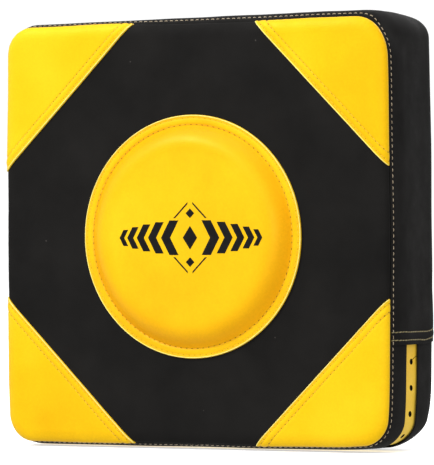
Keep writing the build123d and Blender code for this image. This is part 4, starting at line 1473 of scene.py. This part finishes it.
for side_name, side in (("left", -1), ("right", 1)):
    inner_x, outer_x, strap_z, base_low, base_high = anchors[side]
    flap_low, flap_high = box(f"strap_flap_{side_name}")
    anchor_low, anchor_high = box(f"strap_anchor_{side_name}")
    width = base_high[2] - base_low[2]
    base_y = base_high[1] - 2.0
    foot_y = base_low[1] + 2.0
    flap_y = flap_high[1] - 2.0
    inner_fold = abs(inner_x) + 22.0
    lean = math.tan(math.radians(17.5))
    inner_bend = inner_fold + lean * (base_y - foot_y)
    base_end = max(abs(base_low[0]), abs(base_high[0]))
    hinge_x = max(abs(flap_low[0]), abs(flap_high[0])) - 1.9
    flap_start_y = anchor_high[1] + 0.8
    outer_bend = hinge_x - lean * (flap_y - flap_start_y)
    flap_end = min(abs(flap_low[0]), abs(flap_high[0]))
    strap_thickness = 3.9
    row_places = (-width / 2 + 4.9, width / 2 - 4.9)
    section = strap_section(width, strap_thickness)

    corners = [(abs(inner_x), foot_y), (inner_fold, foot_y), (inner_bend, base_y), (base_end, base_y)]
    path = fillet_path(corners, (8.0, 8.0))
    path[:, 0] *= side
    rings, faces = band(path, section, strap_z, end_round=1.6)
    put(make(f"forearm_strap_{side_name}", rings, faces, strap_cloth), [f"strap_base_{side_name}"])
    rows = strap_rows(path, strap_thickness, row_places, strap_z)
    put(join(f"forearm_strap_stitching_{side_name}", rows, tan_thread))

    corners = [(abs(outer_x), foot_y), (hinge_x, foot_y), (outer_bend, flap_y), (flap_end, flap_y)]
    path = fillet_path(corners, (2.6, 8.0), step=0.8)
    path[:, 0] *= side
    rings, faces = band(path, section, strap_z, end_round=1.6)
    flap = make(f"closing_strap_{side_name}", rings, faces, strap_cloth)
    rows = strap_rows(path, strap_thickness, row_places, strap_z)
    tops = join(f"closing_strap_stitching_{side_name}", rows, tan_thread)
    for obj in (flap, tops):
        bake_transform(obj)
    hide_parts(f"strap_flap_{side_name}", f"strap_anchor_{side_name}")

    sewn = []
    for foot_x in (inner_x + side * 9.5, outer_x - side * 9.5):
        a, b = 7.0, width / 2 - 7.5
        x0, x1, z0, z1 = foot_x - a, foot_x + a, strap_z - b, strap_z + b
        y = foot_y + 1.72
        sewn.append(flat_row([(x0, z0), (x1, z0), (x1, z1), (x0, z1)], y, 3.6, 2.8, 0.75, 12, closed=True))
        sewn.append(flat_row([(x0, z0), (x1, z1)], y, 3.6, 2.8, 0.75, 13))
        sewn.append(flat_row([(x0, z1), (x1, z0)], y, 3.6, 2.8, 0.75, 14))
    put(join(f"strap_foot_stitching_{side_name}", sewn, tan_thread))

    for kind, material, body in (("loop", loop_pile, "pad"), ("hook", hook_pile, f"strap_flap_{side_name}")):
        low, high = box(f"strap_{kind}_{side_name}")
        half_x, half_z = (high[0] - low[0]) / 2, (high[2] - low[2]) / 2
        centre_x, centre_z = (low[0] + high[0]) / 2, (low[2] + high[2]) / 2
        top, under = (high[1], low[1]) if kind == "loop" else (low[1], high[1])
        rings = []
        for inset, share in ((0.0, 0.0), (0.0, 0.35), (1.6, 0.40), (2.6, 0.42), (3.2, 0.75),
                             (4.2, 0.93), (8, 0.95)):
            corner = rounded_corners(half_x - inset, half_z - inset, 2.0, 6)
            level_y = np.full(len(corner), under + (top - under) * share)
            rings.append(np.stack([centre_x + corner[:, 0], level_y, centre_z + corner[:, 1]], -1))
        faces = tube_faces(len(rings), len(rings[0]))
        put(make(f"{kind}_tape_{side_name}", np.array(rings), faces, material),
            [f"strap_{kind}_{side_name}"], body=body)

# ---- hand grips -----------------------------------------------------------------------------
for side_name, side in (("left", -1), ("right", 1)):
    web_low, web_high = box(f"grip_webbing_{side_name}")
    sleeve_low, sleeve_high = box(f"grip_sleeve_{side_name}")
    near, far = sorted((abs(web_low[0]), abs(web_high[0])))
    grip_y = (sleeve_low[1] + sleeve_high[1]) / 2
    grip_z = (web_low[2] + web_high[2]) / 2
    web_y = web_low[1] + 1.25
    corners = [(near, web_y), (near + 22, web_y), (near + 32, grip_y), (far - 32, grip_y), (far - 22, web_y),
               (far, web_y)]
    path = fillet_path(corners, (5.0, 5.0, 5.0, 5.0))
    path[:, 0] *= side
    half = (web_high[2] - web_low[2]) / 2
    edge_profile = ((0.0, 0.25), (0.3, 0.8), (1.0, 1.15), (2.2, 1.2), (2.8, 0.98), (3.4, 1.15))
    profile_half = [(-half + d, t) for d, t in edge_profile] + [(0, 1.15)] \
        + [(half - d, t) for d, t in reversed(edge_profile)]
    section = np.array(profile_half + [(x, -t) for x, t in reversed(profile_half)])
    rings, faces = band(path, section, grip_z)
    put(make(f"grip_web_{side_name}", rings, faces, webbing), [f"grip_webbing_{side_name}"])

    columns = 72
    turn = np.arange(columns) * TAU / columns
    outer = (sleeve_high[2] - sleeve_low[2]) / 2
    centre_x = (sleeve_low[0] + sleeve_high[0]) / 2
    half_length = (sleeve_high[0] - sleeve_low[0]) / 2
    slot_y, slot_z = 1.65, half + 0.4
    squircle = 1 / (np.abs(np.cos(turn) / slot_y) ** 6 + np.abs(np.sin(turn) / slot_z) ** 6) ** (1 / 6)
    rings = []
    body_x = np.linspace(-half_length + 3.0, half_length - 3.0, 60)
    order = []
    for x in body_x:
        fine = 0.16 * math.cos((x - body_x[0]) / 2.6 * math.pi)
        waist = 0.25 * math.cos(x / half_length * math.pi)
        order.append((x, outer - 0.35 + fine - waist * 0.6))
    rim = [(half_length - 1.6, outer - 0.35), (half_length - 0.5, outer - 1.0),
           (half_length - 0.05, outer - 2.1)]
    order = [(-x, r) for x, r in reversed(rim)] + order + rim
    for x, radius in order:
        rings.append(np.stack([np.full(columns, centre_x + x), grip_y + radius * np.cos(turn),
                               grip_z + radius * np.sin(turn)], -1))

    def end_ring(x, share):
        radius = (outer - 2.1) + (squircle - (outer - 2.1)) * share
        return np.stack([np.full(columns, centre_x + x), grip_y + radius * np.cos(turn),
                         grip_z + radius * np.sin(turn)], -1)

    for share, back in ((0.5, 0.0), (0.94, 0.0), (1.0, 0.5), (1.0, half_length)):
        rings.append(end_ring(half_length - back, share))
    for share, back in ((1.0, 0.5), (0.94, 0.0), (0.5, 0.0)):
        rings.append(end_ring(-half_length + back, share))
    rings = np.array(rings)
    put(make(f"grip_foam_{side_name}", rings, quads(len(rings), columns, True, True), grip_rubber),
        [f"grip_sleeve_{side_name}"])


# ---- stage ----------------------------------------------------------------------------------
def floor_piece():
    """Pale floor sheet, a little uneven in tone."""
    n = Nodes("pale_floor")
    colour = n.ramp(n.noise(1.3, 3), (0.3, (0.93, 0.93, 0.93)), (0.7, (0.96, 0.96, 0.96)))
    material = n.finish(colour, None, None, Roughness=0.85, Specular_IOR_Level=0.1, Emission_Strength=0.55)
    n.shader.inputs["Emission Color"].default_value = (1, 1, 1, 1)
    size = 14000.0
    points = np.array([(-size, -size, 0), (size, -size, 0), (size, size, 0), (-size, size, 0)]) \
        + np.array([0, 0, -0.4])
    floor = make("floor", points, [[0, 1, 2, 3]], material, fix_normals=False)
    floor.visible_diffuse = False
    floor.visible_glossy = False


floor_piece()

world = bpy.data.worlds.new("studio")
bpy.context.scene.world = world
world.use_nodes = True
tree = world.node_tree
tree.nodes.clear()
sky = tree.nodes.new("ShaderNodeOutputWorld")
seen = tree.nodes.new("ShaderNodeBackground")
seen.inputs["Color"].default_value = (1, 1, 1, 1)
seen.inputs["Strength"].default_value = 1.05
glow = tree.nodes.new("ShaderNodeBackground")
glow.inputs["Color"].default_value = (1, 1, 1, 1)
where = tree.nodes.new("ShaderNodeTexCoord")
split = tree.nodes.new("ShaderNodeSeparateXYZ")
climb = tree.nodes.new("ShaderNodeMapRange")
for socket, value in (("From Min", -0.6), ("From Max", 0.7), ("To Min", 0.74), ("To Max", 0.70)):
    climb.inputs[socket].default_value = value
tree.links.new(where.outputs["Generated"], split.inputs[0])
tree.links.new(split.outputs["Z"], climb.inputs["Value"])
tree.links.new(climb.outputs[0], glow.inputs["Strength"])
ray = tree.nodes.new("ShaderNodeLightPath")
mix = tree.nodes.new("ShaderNodeMixShader")
tree.links.new(ray.outputs["Is Camera Ray"], mix.inputs[0])
tree.links.new(glow.outputs[0], mix.inputs[1])
tree.links.new(seen.outputs[0], mix.inputs[2])
tree.links.new(mix.outputs[0], sky.inputs["Surface"])


def area_light(name, place, aim, size, power):
    light = bpy.data.lights.new(name, "AREA")
    light.shape = "RECTANGLE"
    light.size, light.size_y = size
    light.energy = power
    obj = bpy.data.objects.new(name, light)
    bpy.context.scene.collection.objects.link(obj)
    obj.location = place
    obj.rotation_euler = (Vector(aim) - Vector(place)).to_track_quat("-Z", "Y").to_euler()


for lamp in (("key", (-1.3, -2.0, 2.3), (0, -0.05, 0.2), (1.2, 0.9), 55),
             ("fill", (1.3, -3.0, 0.3), (0, 0, 0.2), (1.8, 1.4), 30),
             ("rim", (0.6, 2.4, 1.8), (0, 0, 0.2), (1.8, 1.2), 22),
             ("top", (0.0, -0.3, 2.8), (0, 0, 0), (2.4, 2.4), 22)):
    area_light(*lamp)

camera_data = bpy.data.cameras.new("camera")
camera_data.lens = 312.3
camera_data.sensor_width = 36.0
camera_data.sensor_fit = "AUTO"
camera_data.clip_end = 100
camera = bpy.data.objects.new("camera", camera_data)
bpy.context.scene.collection.objects.link(camera)
bpy.context.scene.camera = camera
azimuth, elevation, distance = math.radians(27.593), math.radians(0.04), 3.732
aim = Vector((0, face_y * MM, 0.2))
away = Vector((math.sin(azimuth) * math.cos(elevation), -math.cos(azimuth) * math.cos(elevation),
               math.sin(elevation)))
camera.location = aim + away * distance
right = Vector((math.cos(azimuth), math.sin(azimuth), 0))
up = right.cross(-away)
aim = aim + right * 0.02293 + up * 0.00065
level = (aim - camera.location).to_track_quat("-Z", "Y")
camera.rotation_euler = (level @ Quaternion((0, 0, 1), math.radians(-0.29))).to_euler()

settings = bpy.context.scene.view_settings
settings.view_transform = "Standard"
